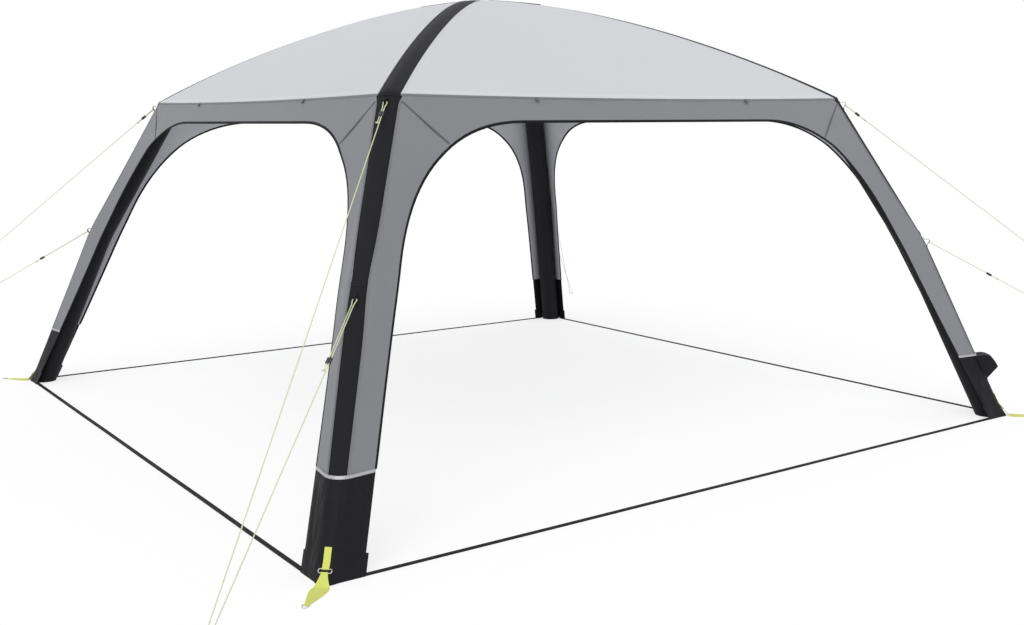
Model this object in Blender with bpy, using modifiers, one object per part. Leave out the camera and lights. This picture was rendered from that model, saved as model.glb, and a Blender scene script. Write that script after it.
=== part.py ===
"""Inflatable camping shelter with four open sides.

Two air beams cross at the crown and stand on the corners of a square. A grey
canopy hangs between them, and each side is an arched doorway.

Frame: metres, +Z up, origin on the ground at the centre of the square. The
front side faces -Y and the right side faces +X. A leg frame has +X outwards
along the square's diagonal, and is turned about Z to its corner.
"""
import math

import bmesh
import bpy
from mathutils import Matrix, Vector

COLLECTION = "camping_shelter"

# Overall form
GROUND_HALF = 2.05
KNEE_HALF = 1.73
KNEE_HEIGHT = 0.94
EAVE_HALF = 1.385
EAVE_HEIGHT = 1.70
CROWN_HEIGHT = 2.24
EAVE_HANDLE = 0.406
EAVE_ROOF_SLOPE = 34.5
CROWN_HANDLE = 0.45
EAVE_SAG = 0.013
ROOF_SAG = 0.022

# Cloth and seams
CLOTH = 0.002
SEAT = 0.0003
EAVE_SEAM = 0.0022
GAITER_SEAM = 0.0009
STRIP_HALF_FOOT = 0.036
STRIP_HALF_EAVE = 0.052
STRIP_HALF_ROOF = 0.065
BINDING_WIDTH = 0.010
BINDING_THICK = 0.004

# Doorway outline on a side wall
FOOT_WING = 0.155
SHOULDER_WING = 0.19
SHOULDER_HEIGHT = 1.05
LINTEL_HALF = 0.75
LINTEL_HEIGHT = 1.59
ARCH_STEPS = 9
SHOULDER_HANDLE = 0.36
LINTEL_HANDLE = 0.38

# Degrees by which the walls wrap round a leg at the knee, beyond where they meet it; the height
# where that ends; and the half height over which a wall's fold at the knee is rounded
WRAP_KNEE = 16.0
WRAP_TOP = 1.45
KNEE_BLEND = 0.02

# Air beams and their sleeves
SLEEVE_RADIUS = 0.065
SLEEVE_WALL = 0.0015
BLADDER_GAP = 0.0022
BLADDER_WALL = 0.0012
CROSS_GAP = 0.0045
PINCH_REACH = 0.30
PINCH_FLAT = 0.075
SLEEVE_SIDES = 16
BLADDER_SIDES = 10
BLADDER_SOLE_GAP = 0.002

# Crown patch over the crossing
PATCH_REACH = 0.33
PATCH_HALF = 0.075
PATCH_THICK = 0.0015
PATCH_SEAT = 0.0009

# Foot gaiters and ground straps
GAITER_TOP = 0.34
HEM_HEIGHT = 0.075
HEM_FLARE = 0.012
HEM_LIFT = 0.0012
WINDOW_BOTTOM = 0.20
WINDOW_TOP = 0.315
STRAP_WIDTH = 0.025
STRAP_THICK = 0.0015
STRAP_END_GAP = 0.001

# Pegging points
WEB_HALF = 0.013
WEB_THICK = 0.0014
WEB_TOP = 0.118
RING_WIRE = 0.0018
RING_HALF_WIDTH = 0.017
RING_DROP = 0.016
RING_HEIGHT = 0.052
RING_STAND_OFF = 0.0072
CURL_GAP = 0.0005
TAB_LENGTH = 0.19
TAB_WIDE_HALF = 0.032
TAB_TIP_HALF = 0.009
TAB_SLOPE_REACH = 0.016
# Leaf of a tab on the ground: distance from the ring's bar and half width
TAB_LEAF = ((0.034, 0.0295), (0.075, TAB_WIDE_HALF), (0.125, 0.023), (TAB_LENGTH - 0.014, 0.011))
TAB_THICK = 0.0014
EYE_WIRE = 0.0016
EYE_LENGTH = 0.024
EYE_HALF_WIDTH = 0.0125

# Valves
VALVE_HEIGHT = 0.262
VALVE_NECK = 0.0145
VALVE_COLLAR = 0.0175
VALVE_COLLAR_HEIGHT = 0.007
VALVE_FLANGE = 0.024
VALVE_FLANGE_THICK = 0.002
VALVE_NECK_DEPTH = 0.014
VALVE_CLEARANCE = 0.0006
VALVE_RECESS = 0.009
VALVE_RECESS_DEPTH = 0.0035
VALVE_STEM = 0.0032
CAP_WALL = 0.0015
# Valve flap, standing open: distance out, rise and half width along its middle
FLAP_RISE = 0.010
FLAP_PROFILE = ((0.0, 0.0, 0.042), (0.03, 0.011, 0.045), (0.06, 0.008, 0.043),
                (0.085, -0.018, 0.038), (0.103, -0.048, 0.030))

# Guy lines
GUY_DIAMETER = 0.004
GUY_GROUND_REACH = 4.18
GUY_TURN = 0.0085
GUY_SPACING = 0.004
GUY_SEAT = 0.0013
UPPER_ANCHOR_HEIGHT = 1.655
LOWER_ANCHOR_HEIGHT = 0.93
UPPER_SLIDER_DROP = 0.085
LOWER_SLIDER_DROP = 0.36
GUY_TAIL = 0.045
ANCHOR_HALF = 0.005
ANCHOR_REACH = 0.024
ANCHOR_THICK = 0.0016
SLIDER_HALF_WIDTH = 0.011
SLIDER_DEPTH = 0.004
SLIDER_LENGTH = 0.026
SLIDER_HOLE = 0.0024

# Heights at which a side wall's straight jamb has its points
JAMB_HEIGHTS = (GAITER_TOP + GAITER_SEAM, 0.64, KNEE_HEIGHT, SHOULDER_HEIGHT)
# Shares along the roof's section at which panels and beams have their points
ROOF_STEPS = (0.0, 0.1, 0.22, 0.35, 0.48, 0.6, 0.71, 0.8, 0.88)
ROOT2 = math.sqrt(2.0)
LEGS = {"front_left": 225.0, "front_right": 315.0, "back_right": 45.0, "back_left": 135.0}
SIDES = {"front": 0.0, "right": 90.0, "back": 180.0, "left": 270.0}
VALVE_LEGS = ("front_right", "back_right")

PALETTE = {
    "roof_cloth": ((0.655, 0.665, 0.675), 0.75, 0.0),
    "wall_cloth": ((0.26, 0.265, 0.285), 0.8, 0.0),
    "black_cloth": ((0.017, 0.017, 0.021), 0.7, 0.0),
    "binding": ((0.012, 0.012, 0.014), 0.75, 0.0),
    "bladder": ((0.75, 0.78, 0.80), 0.35, 0.0),
    "yellow_webbing": ((0.68, 0.80, 0.10), 0.7, 0.0),
    "yellow_cord": ((0.70, 0.78, 0.30), 0.65, 0.0),
    "steel": ((0.45, 0.46, 0.47), 0.3, 1.0),
    "black_plastic": ((0.03, 0.03, 0.033), 0.4, 0.0),
    "black_webbing": ((0.015, 0.015, 0.017), 0.8, 0.0),
}


def clear_scene():
    for item in list(bpy.data.objects):
        bpy.data.objects.remove(item, do_unlink=True)


def make_material(name):
    colour, roughness, metallic = PALETTE[name]
    material = bpy.data.materials.get(name)
    if material is None:
        material = bpy.data.materials.new(name)
        material.use_nodes = True
        shader = material.node_tree.nodes["Principled BSDF"]
        shader.inputs["Base Color"].default_value = (*colour, 1.0)
        shader.inputs["Roughness"].default_value = roughness
        shader.inputs["Metallic"].default_value = metallic
    return material


def get_collection(name):
    group = bpy.data.collections.get(name)
    if group is None:
        group = bpy.data.collections.new(name)
        bpy.context.scene.collection.children.link(group)
    return group


def add_piece(name, mesh, finish, turn=0.0, smooth=True):
    """Put a mesh in the scene as a named piece, turned about Z by degrees."""
    piece = bpy.data.objects.new(name, mesh)
    get_collection(COLLECTION).objects.link(piece)
    piece.rotation_euler.z = math.radians(turn)
    mesh.materials.append(make_material(finish))
    if smooth:
        mesh.shade_smooth()
        mesh.set_sharp_from_angle(angle=math.radians(35.0))
    return piece


def add_guide(name, mesh, turn):
    """Hidden shape that a modifier joins to a piece."""
    guide = bpy.data.objects.new(name, mesh)
    get_collection("cutters").objects.link(guide)
    guide.rotation_euler.z = math.radians(turn)
    guide.hide_render = True
    guide.display_type = "WIRE"
    return guide


def sew_on(piece, guide):
    """Join a sewn-on loop or strap to the cloth that carries it."""
    union = piece.modifiers.new("sewn on", "BOOLEAN")
    union.operation = "UNION"
    union.object = guide


def mesh_from(form, name):
    mesh = bpy.data.meshes.new(name)
    bmesh.ops.recalc_face_normals(form, faces=form.faces)
    form.to_mesh(mesh)
    form.free()
    return mesh


def solidify(piece, thickness, offset=-1.0):
    wall = piece.modifiers.new("thickness", "SOLIDIFY")
    wall.thickness = thickness
    wall.offset = offset
    wall.use_even_offset = True
    return wall


def grid_mesh(rows, name, outward=None):
    """Skin rows of points; faces are turned to look along outward."""
    form = bmesh.new()
    verts = [[form.verts.new(point) for point in row] for row in rows]
    for lower, upper in zip(verts, verts[1:]):
        for i in range(len(lower) - 1):
            form.faces.new((lower[i], lower[i + 1], upper[i + 1], upper[i]))
    form.normal_update()
    if outward is not None:
        total = sum((face.normal * face.calc_area() for face in form.faces), Vector())
        if total.dot(Vector(outward)) < 0.0:
            bmesh.ops.reverse_faces(form, faces=form.faces)
    mesh = bpy.data.meshes.new(name)
    form.to_mesh(mesh)
    form.free()
    return mesh


def loft_mesh(rings, name, caps=2, closed=False):
    """Join rings of equal count into a tube, capped at no, one or both ends."""
    form = bmesh.new()
    loops = [[form.verts.new(point) for point in ring] for ring in rings]
    count = len(loops[0])
    pairs = list(zip(loops, loops[1:]))
    if closed:
        pairs.append((loops[-1], loops[0]))
    for lower, upper in pairs:
        for i in range(count):
            j = (i + 1) % count
            form.faces.new((lower[i], lower[j], upper[j], upper[i]))
    if caps and not closed:
        form.faces.new(loops[0])
        if caps == 2:
            form.faces.new(loops[-1])
    return mesh_from(form, name)


def bezier(p0, p1, p2, p3, u):
    v = 1.0 - u
    blend = (v ** 3, 3 * v * v * u, 3 * v * u * u, u ** 3)
    return tuple(sum(b * p[i] for b, p in zip(blend, (p0, p1, p2, p3))) for i in (0, 1))


def unit2(x, y):
    size = math.hypot(x, y)
    return x / size, y / size


def wall_half(z):
    """Half width of the tent at height z, measured across its flat sides."""
    if z <= KNEE_HEIGHT:
        return GROUND_HALF + (KNEE_HALF - GROUND_HALF) * z / KNEE_HEIGHT
    share = (z - KNEE_HEIGHT) / (EAVE_HEIGHT - KNEE_HEIGHT)
    return KNEE_HALF + (EAVE_HALF - KNEE_HALF) * share


def strip_half(z):
    """Half width of the black strip that shows between two side walls."""
    share = min(1.0, max(0.0, z / EAVE_HEIGHT))
    return STRIP_HALF_FOOT + (STRIP_HALF_EAVE - STRIP_HALF_FOOT) * share


def roof_point(u):
    """Half width and height of the roof's section, from eave to crown."""
    slope = math.radians(EAVE_ROOF_SLOPE)
    eave = (EAVE_HALF, EAVE_HEIGHT)
    rise = (EAVE_HALF - EAVE_HANDLE * math.cos(slope), EAVE_HEIGHT + EAVE_HANDLE * math.sin(slope))
    crest = (CROWN_HANDLE, CROWN_HEIGHT)
    return bezier(eave, rise, crest, (0.0, CROWN_HEIGHT), u)


def roof_direction(u):
    step = 0.001
    a = roof_point(max(0.0, u - step))
    b = roof_point(min(1.0, u + step))
    return unit2(b[0] - a[0], b[1] - a[1])


def outward_normal(direction):
    return direction[1], -direction[0]


LOWER_WALL = unit2(KNEE_HALF - GROUND_HALF, KNEE_HEIGHT)
UPPER_WALL = unit2(EAVE_HALF - KNEE_HALF, EAVE_HEIGHT - KNEE_HEIGHT)
BEAM_INSET = SLEEVE_RADIUS + CLOTH + SEAT


class Station:
    """One ring of an air beam: where it is and how its plane lies."""

    def __init__(self, point, before, after, spread=0.0, level=False):
        n1 = outward_normal(before)
        n2 = outward_normal(after)
        share = 1.0 + n1[0] * n2[0] + n1[1] * n2[1]
        shift = ((n1[0] + n2[0]) / share, (n1[1] + n2[1]) / share)
        half = point[0] - shift[0] * BEAM_INSET
        self.t = half * ROOT2
        self.z = point[1] - shift[1] * BEAM_INSET
        d1 = unit2(before[0] * ROOT2, before[1])
        d2 = unit2(after[0] * ROOT2, after[1])
        self.path = unit2(d1[0] + d2[0], d1[1] + d2[1])
        stretch = 1.0 / max(0.5, self.path[0] * d1[0] + self.path[1] * d1[1])
        side = outward_normal(self.path)
        self.out = (side[0] * stretch, side[1] * stretch)
        if level:
            self.t += self.z * -self.path[0] / self.path[1]
            self.z = 0.0
            self.out = (1.0 / self.path[1], 0.0)
        self.lean = (n1[0] + n2[0]) / 2.0 / ROOT2
        self.spread = spread

    def mirrored(self):
        twin = Station.__new__(Station)
        twin.t = -self.t
        twin.z = self.z
        twin.path = (self.path[0], -self.path[1])
        twin.out = (-self.out[0], self.out[1])
        twin.lean = self.lean
        twin.spread = self.spread
        return twin


def wall_station(z):
    direction = LOWER_WALL if z < KNEE_HEIGHT else UPPER_WALL
    return Station((wall_half(z), z), direction, direction)


def roof_station(u):
    direction = roof_direction(u)
    return Station(roof_point(u), direction, direction, spread=1.0)


def roof_share_at(t):
    """Share along the roof's section at which the beam's axis is t out."""
    low, high = 0.3, 1.0
    for _ in range(40):
        middle = (low + high) / 2.0
        if roof_station(middle).t > t:
            low = middle
        else:
            high = middle
    return high


def half_stations():
    """Stations of a beam from a foot up to the crown."""
    foot = Station((wall_half(0.0), 0.0), LOWER_WALL, LOWER_WALL, level=True)
    knee = Station((KNEE_HALF, KNEE_HEIGHT), LOWER_WALL, UPPER_WALL)
    eave = Station((EAVE_HALF, EAVE_HEIGHT), UPPER_WALL, roof_direction(0.0))
    row = [foot, wall_station(GAITER_TOP), knee, wall_station(EAVE_HEIGHT - 0.14), eave]
    row += [roof_station(u) for u in ROOF_STEPS[1:7]]
    reaches = (PINCH_REACH, 0.23, 0.15, PINCH_FLAT, 0.0)
    row += [roof_station(roof_share_at(t)) for t in reaches]
    return row


def beam_stations():
    half = half_stations()
    return [s.mirrored() for s in half] + half[-2::-1]


def section_point(station, angle, radius, grow):
    """Point of a beam's section: round on a leg, flat topped under the roof."""
    w = radius * math.cos(angle)
    h = radius * math.sin(angle)
    if h <= 1e-6 or grow <= 0.0:
        return w, h
    lean = station.lean
    rise = math.sqrt(1.0 - lean * lean)
    reach = 1.0 - abs(angle - math.pi / 2.0) / (math.pi / 2.0)
    share = min(1.0, abs(w) / radius * 1.35)
    flat_w = math.copysign(STRIP_HALF_ROOF * share, w)
    flat_h = min(radius, (radius - lean * abs(flat_w)) / rise)
    if reach < 0.2:
        flat_h = min(flat_h, h * 3.0)
    return w + (flat_w - w) * grow, h + (flat_h - h) * grow


def pinch_share(t):
    """How far a beam is pressed flat at t along it: 1 at the crossing."""
    if abs(t) >= PINCH_REACH:
        return 0.0
    u = max(0.0, (abs(t) - PINCH_FLAT) / (PINCH_REACH - PINCH_FLAT))
    u = 1.0 - min(1.0, u)
    return u * u * (3.0 - 2.0 * u)


def beam_rings(upper, radius, inset, sides, flat_top, sole=0.0):
    """Rings of a sleeve or a bladder, pinched where the two beams cross."""
    rings = []
    for station in beam_stations():
        press = pinch_share(station.t) * (SLEEVE_RADIUS + CROSS_GAP / 2.0)
        low, high = -SLEEVE_RADIUS, SLEEVE_RADIUS
        if upper:
            low += press
        else:
            high -= press
        low += inset
        high -= inset
        middle = (low + high) / 2.0
        scale = (high - low) / (2.0 * radius)
        centre_t = station.t
        centre_z = station.z
        if sole and station.z < sole:
            centre_t -= math.copysign(sole, station.t) * abs(station.path[0] / station.path[1])
            centre_z = sole
        ring = []
        for i in range(sides):
            angle = 2.0 * math.pi * i / sides
            grow = station.spread if flat_top else 0.0
            w, h = section_point(station, angle, radius, grow)
            h = middle + h * scale
            ring.append((centre_t + station.out[0] * h, w, centre_z + station.out[1] * h))
        rings.append(ring)
    return rings


def leg_axis(z):
    """Centre, outward and upward directions of a leg's beam at height z."""
    station = wall_station(z)
    side = outward_normal(station.path)
    out = Vector((side[0], 0.0, side[1])).normalized()
    along = Vector((station.path[0], 0.0, station.path[1])).normalized()
    return Vector((station.t, 0.0, station.z)), out, along


def leg_surface(z):
    """Outermost point of a leg's sleeve whose axis point is at height z."""
    centre, out, along = leg_axis(z)
    return centre + out * SLEEVE_RADIUS, out, along


def to_leg(name):
    return Matrix.Rotation(math.radians(LEGS[name]), 4, "Z")


def lower_axis(z):
    """Distance out to the axis of a beam at height z on its lower leg."""
    foot = half_stations()[0]
    return foot.t + z * foot.path[0] / foot.path[1]


class LegSection:
    """Level cut through a leg: the beam's oval and the walls that leave it."""

    def __init__(self, z):
        upper = min(1.0, max(0.0, 0.5 + (z - KNEE_HEIGHT) / (2.0 * KNEE_BLEND)))
        direction = [a + (b - a) * upper for a, b in zip(LOWER_WALL, UPPER_WALL)]
        normal = outward_normal(direction)
        rise = normal[1] * BEAM_INSET / direction[1] * direction[0]
        self.z = z
        self.path = unit2(direction[0] * ROOT2, direction[1])
        self.centre = (wall_half(z) + rise - normal[0] * BEAM_INSET) * ROOT2
        self.lean = math.asin(normal[0] / ROOT2)
        t, w, _ = self.place(self.lean, 0.0)
        self.tangent = (t - w) / ROOT2
        if z < KNEE_HEIGHT:
            share = math.sin(z / KNEE_HEIGHT * math.pi / 2.0)
        else:
            share = math.cos(min(1.0, (z - KNEE_HEIGHT) / (WRAP_TOP - KNEE_HEIGHT)) * math.pi / 2.0)
        self.turn = math.radians(WRAP_KNEE) * share

    def place(self, angle, straight, push=0.0):
        """Point (t, w, z) at an angle round the beam, then straight on."""
        rise = self.path[1]
        t = self.centre + (BEAM_INSET * math.cos(angle) - straight * math.sin(angle)) / rise
        w = BEAM_INSET * math.sin(angle) + straight * math.cos(angle)
        return (t + push * math.cos(angle) * rise, w + push * math.sin(angle),
                self.z - push * math.cos(angle) * self.path[0])

    def wing(self, reach, push=0.0):
        """Point of a wall, reach inward from where its plane leaves the beam."""
        across = reach / (ROOT2 * math.cos(self.lean))
        bend = min(max(across, 0.0), BEAM_INSET * self.turn)
        return self.place(self.lean + bend / BEAM_INSET, across - bend, push)


def leg_outline(z, flare=0.0):
    """Outside of a lower leg at height z: one wing, round the beam, other wing."""
    leg = LegSection(z)
    jamb = leg.tangent - jamb_half(z)
    side = [leg.wing(jamb)[:2], leg.wing(jamb / 2.0)[:2]]
    tangent_w = BEAM_INSET * math.sin(leg.lean)
    step = 2.0 * math.pi / SLEEVE_SIDES
    edge = leg.lean + leg.turn
    arc = []
    for angle in (-edge, -leg.lean, -step, 0.0, step, leg.lean, edge):
        t, w, _ = leg.place(angle, 0.0)
        push = flare * max(0.0, 1.0 - (w / tangent_w) ** 2)
        arc.append((t + push, w))
    return [(t, -w) for t, w in side] + arc + side[::-1]


def jamb_half(z):
    """Half width of the doorway at height z, on its straight lower jamb."""
    foot = GROUND_HALF - FOOT_WING
    shoulder = wall_half(SHOULDER_HEIGHT) - SHOULDER_WING
    return foot + (shoulder - foot) * z / SHOULDER_HEIGHT


def doorway_curve():
    """Right half of the doorway's edge on the wall, from gaiter to middle."""
    rise = unit2(jamb_half(SHOULDER_HEIGHT) - jamb_half(0.0), SHOULDER_HEIGHT)
    points = [(jamb_half(z), z) for z in JAMB_HEIGHTS]
    start = points[-1]
    lift = (start[0] + rise[0] * SHOULDER_HANDLE, start[1] + rise[1] * SHOULDER_HANDLE)
    level = (LINTEL_HALF + LINTEL_HANDLE, LINTEL_HEIGHT)
    for i in range(1, ARCH_STEPS + 1):
        points.append(bezier(start, lift, level, (LINTEL_HALF, LINTEL_HEIGHT), i / ARCH_STEPS))
    points += [(LINTEL_HALF * share, LINTEL_HEIGHT) for share in (0.67, 0.33, 0.0)]
    return points


def eave_drop(x):
    """Sag of the eave at x from the middle of a side."""
    return EAVE_SAG * (1.0 - (x / EAVE_HALF) ** 2)


def wall_edge(z):
    """Outer edge of a side wall at height z, where the black strip starts."""
    return wall_half(z) - ROOT2 * strip_half(z)


def wall_boundary():
    """Outer boundary points that pair with the doorway curve's points."""
    curve = doorway_curve()
    top = EAVE_HEIGHT - EAVE_SEAM
    corner = wall_edge(top)
    points = []
    jambs = len(JAMB_HEIGHTS)
    rise = top - SHOULDER_HEIGHT
    across = corner - LINTEL_HALF
    for index, (x, z) in enumerate(curve):
        if index < jambs:
            points.append((wall_edge(z), z))
        elif index < jambs + ARCH_STEPS:
            way = (index - jambs + 1) / ARCH_STEPS * (rise + across)
            if way <= rise * 1.04:
                height = SHOULDER_HEIGHT + min(way, rise)
                points.append((wall_edge(height), height))
            else:
                points.append((corner - (way - rise), top))
        else:
            points.append((x, top))
    return points


def wall_place(x, z, push=0.0):
    """Point of the front wall; its top edge follows the eave's sag."""
    if z < WRAP_TOP:
        leg = LegSection(z)
        t, w, height = leg.wing(leg.tangent - x, push)
        return Vector(((t - w) / ROOT2, -(t + w) / ROOT2, height))
    near_top = max(0.0, (z - LINTEL_HEIGHT) / (EAVE_HEIGHT - LINTEL_HEIGHT))
    height = z - eave_drop(x) * near_top
    normal = outward_normal(UPPER_WALL)
    return Vector((x, -(wall_half(height) + normal[0] * push), height + normal[1] * push))


def mirror_x(piece):
    mirror = piece.modifiers.new("mirror", "MIRROR")
    mirror.use_axis = (True, False, False)
    mirror.merge_threshold = 0.0001
    mirror.use_clip = True


def make_side_panels():
    """Grey side walls, each one cloth with an arched doorway."""
    inner = doorway_curve()
    outer = wall_boundary()
    bend = BEAM_INSET * math.radians(WRAP_KNEE) * ROOT2 * math.cos(LegSection(0.0).lean)
    rows = [[] for _ in range(5)]
    for (xi, zi), (xo, zo) in zip(inner, outer):
        width = math.hypot(xo - xi, zo - zi)
        start = max(CLOTH * 2.0, wall_edge(zo) - LegSection(zo).tangent)
        offs = (width, start + bend, start + bend / 2.0, start, 0.0)
        for row, off in zip(rows, offs):
            share = 1.0 - off / width
            row.append(wall_place(xi + (xo - xi) * share, zi + (zo - zi) * share))
    for name, turn in SIDES.items():
        mesh = grid_mesh(rows, "side_panel_" + name, outward=(0.0, -1.0, 0.3))
        panel = add_piece("side_panel_" + name, mesh, "wall_cloth", turn)
        mirror_x(panel)
        solidify(panel, CLOTH)


def make_edge_bindings():
    """Black tape folded over each doorway's edge."""
    curve = doorway_curve()
    rings = []
    for i, (x, z) in enumerate(curve):
        before = curve[max(0, i - 1)]
        after = curve[min(len(curve) - 1, i + 1)]
        along = unit2(after[0] - before[0], after[1] - before[1])
        inward = (-along[1], along[0])
        if inward[0] > 0.0 or i == len(curve) - 1:
            inward = (-abs(inward[0]), -abs(inward[1]))
        if i == len(curve) - 1:
            inward = (0.0, -1.0)
        if i == 0:
            inward = (-1.0, 0.0)
        ring = []
        for reach, push in ((SEAT, 1.0), (BINDING_WIDTH, 1.0), (BINDING_WIDTH, -1.0), (SEAT, -1.0)):
            px = x + inward[0] * reach
            pz = z + inward[1] * reach
            lift = push * BINDING_THICK / 2.0 - CLOTH / 2.0
            ring.append(wall_place(px, pz, lift))
        rings.append(ring)
    for name, turn in SIDES.items():
        mesh = loft_mesh(rings, "edge_binding_" + name, caps=1)
        mirror_x(add_piece("edge_binding_" + name, mesh, "binding", turn))


def make_roof_panels():
    """Pale roof cloths, each between two beams, domed from eave to crown."""
    edge = ROOT2 * (STRIP_HALF_ROOF + CLOTH * 0.5 + SEAT)
    columns = (0.0, 0.3, 0.6, 0.84, 1.0)
    last = ROOF_STEPS[-1]
    while roof_point(last)[0] > edge + 0.004:
        last += 0.0005
    rows = []
    for u in ROOF_STEPS + (last,):
        half, height = roof_point(u)
        normal = outward_normal(roof_direction(u))
        width = half - edge
        row = []
        for share in columns:
            x = width * share
            bow = (1.0 - share * share) * width / EAVE_HALF
            sag = ROOF_SAG * bow * min(1.0, u * 5.0)
            drop = eave_drop(x) * max(0.0, 1.0 - u * 6.0)
            row.append((x, -(half - normal[0] * sag), height - normal[1] * sag - drop))
        rows.append(row)
    for name, turn in SIDES.items():
        mesh = grid_mesh(rows, "roof_panel_" + name, outward=(0.0, -0.5, 1.0))
        panel = add_piece("roof_panel_" + name, mesh, "roof_cloth", turn)
        mirror_x(panel)
        solidify(panel, CLOTH)


def valve_cutter(leg, radius):
    """Cylinder that opens the hole for a valve."""
    point, out, _ = leg_surface(VALVE_HEIGHT)
    form = bmesh.new()
    place = Matrix.Translation(point) @ out.to_track_quat("Z", "Y").to_matrix().to_4x4()
    bmesh.ops.create_cone(form, cap_ends=True, segments=20, radius1=radius, radius2=radius,
                          depth=0.05, matrix=place)
    mesh = bpy.data.meshes.new("valve_cutter")
    form.to_mesh(mesh)
    form.free()
    return add_guide("valve_cutter_" + leg, mesh, LEGS[leg])


def make_beams():
    """Air beams and the sleeves that hold them, crossing at the crown."""
    for tag, leg, upper in (("rear", "back_right", True), ("right", "front_right", False)):
        cutter = valve_cutter(leg, VALVE_NECK + VALVE_CLEARANCE)
        rings = beam_rings(upper, SLEEVE_RADIUS, 0.0, SLEEVE_SIDES, True)
        mesh = loft_mesh(rings, "beam_sleeve_" + tag)
        sleeve = add_piece("beam_sleeve_" + tag, mesh, "black_cloth", LEGS[leg])
        solidify(sleeve, SLEEVE_WALL)
        inset = SLEEVE_WALL + BLADDER_GAP
        sole = SLEEVE_WALL + BLADDER_SOLE_GAP
        rings = beam_rings(upper, SLEEVE_RADIUS - inset, inset, BLADDER_SIDES, False, sole)
        mesh = loft_mesh(rings, "air_beam_" + tag)
        bladder = add_piece("air_beam_" + tag, mesh, "bladder", LEGS[leg])
        solidify(bladder, BLADDER_WALL)
        for height in (UPPER_ANCHOR_HEIGHT, LOWER_ANCHOR_HEIGHT):
            for end, turn in (("near", LEGS[leg] + 180.0), ("far", LEGS[leg])):
                title = "guy_anchor_%s_%s_%d" % (tag, end, round(height * 100.0))
                sew_on(sleeve, add_guide(title, anchor_mesh(height), turn))
        for piece in (sleeve, bladder):
            cut = piece.modifiers.new("valve hole", "BOOLEAN")
            cut.operation = "DIFFERENCE"
            cut.object = cutter


def make_crown_patch():
    """Black band sewn over the place where the two beams cross."""
    rows = []
    for i in range(11):
        t = PATCH_REACH * (i / 5.0 - 1.0)
        row = []
        for share in (-1.0, -0.5, 0.0, 0.5, 1.0):
            w = PATCH_HALF * share
            half = (abs(t) + abs(w)) / ROOT2
            row.append((t, w, roof_height(half) + PATCH_SEAT))
        rows.append(row)
    mesh = grid_mesh(rows, "crown_patch", outward=(0.0, 0.0, 1.0))
    patch = add_piece("crown_patch", mesh, "black_cloth", LEGS["front_right"])
    solidify(patch, PATCH_THICK, offset=1.0)


def roof_height(half):
    """Height of the roof's outside where its half width is given."""
    low, high = 0.0, 1.0
    for _ in range(40):
        middle = (low + high) / 2.0
        if roof_point(middle)[0] > half:
            low = middle
        else:
            high = middle
    return roof_point(high)[1]


def make_gaiters():
    """Black foot gaiters; two have a window over their valve."""
    heights = (HEM_LIFT, HEM_HEIGHT, WINDOW_BOTTOM, WINDOW_TOP, GAITER_TOP)
    for name, turn in LEGS.items():
        rows = []
        for z in heights:
            flare = HEM_FLARE * max(0.0, 1.0 - z / HEM_HEIGHT)
            rows.append([(t, w, z) for t, w in leg_outline(z, flare=flare)])
        mesh = grid_mesh(rows, "foot_gaiter_" + name, outward=(1.0, 0.0, 0.3))
        if name in VALVE_LEGS:
            form = bmesh.new()
            form.from_mesh(mesh)
            window = []
            for face in form.faces:
                middle = face.calc_center_median()
                level = WINDOW_BOTTOM < middle.z < WINDOW_TOP
                if level and abs(middle.y) < BEAM_INSET * half_stations()[0].lean * 0.8:
                    window.append(face)
            bmesh.ops.delete(form, geom=window, context="FACES")
            form.to_mesh(mesh)
            form.free()
        gaiter = add_piece("foot_gaiter_" + name, mesh, "black_cloth", turn)
        solidify(gaiter, CLOTH)
        web = add_guide("peg_web_" + name, peg_web_mesh(), turn)
        sew_on(gaiter, web)


def box_mesh(low, high, name):
    form = bmesh.new()
    size = [b - a for a, b in zip(low, high)]
    middle = [(a + b) / 2.0 for a, b in zip(low, high)]
    place = Matrix.Translation(middle) @ Matrix.Diagonal((*size, 1.0))
    bmesh.ops.create_cube(form, size=1.0, matrix=place)
    mesh = bpy.data.meshes.new(name)
    form.to_mesh(mesh)
    form.free()
    return mesh


def make_ground_straps():
    """Webbing on the ground between the feet, inside the gaiters' hems."""
    centre = lower_axis(0.0) / ROOT2
    outer = GROUND_HALF - CLOTH / LOWER_WALL[1] - SEAT * 3.0
    reach = SLEEVE_RADIUS + STRAP_END_GAP
    off = centre - (outer - STRAP_WIDTH)
    end = centre - math.sqrt(max(0.0, reach * reach - min(off, reach) ** 2)) - STRAP_END_GAP
    for name, turn in SIDES.items():
        title = "ground_strap_" + name
        low = (-end, -outer, 0.0)
        mesh = box_mesh(low, (end, -outer + STRAP_WIDTH, STRAP_THICK), title)
        add_piece(title, mesh, "black_webbing", turn, smooth=False)


def pivot(name, leg, place):
    """Empty on a joint's axis, in a leg's frame; a moving piece is its child."""
    empty = bpy.data.objects.new("pivot_" + name, None)
    empty.empty_display_size = 0.02
    get_collection(COLLECTION).objects.link(empty)
    empty.matrix_world = to_leg(leg) @ Matrix.Translation(place)
    return empty


def hang_on(piece, empty):
    """Parent a piece to its pivot without moving the piece."""
    piece.parent = empty
    piece.matrix_parent_inverse = empty.matrix_world.inverted()


def ribbon(path, widths, thickness, name):
    """Band of cloth or webbing along a path in the leg's upright plane."""
    rows = []
    for (t, z), half in zip(path, widths):
        rows.append([(t, -half, z), (t, half, z)])
    form = bmesh.new()
    verts = [[form.verts.new(p) for p in row] for row in rows]
    for a, b in zip(verts, verts[1:]):
        form.faces.new((a[0], b[0], b[1], a[1]))
    mesh = bpy.data.meshes.new(name)
    form.to_mesh(mesh)
    form.free()
    return thickened(mesh, thickness)


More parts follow.
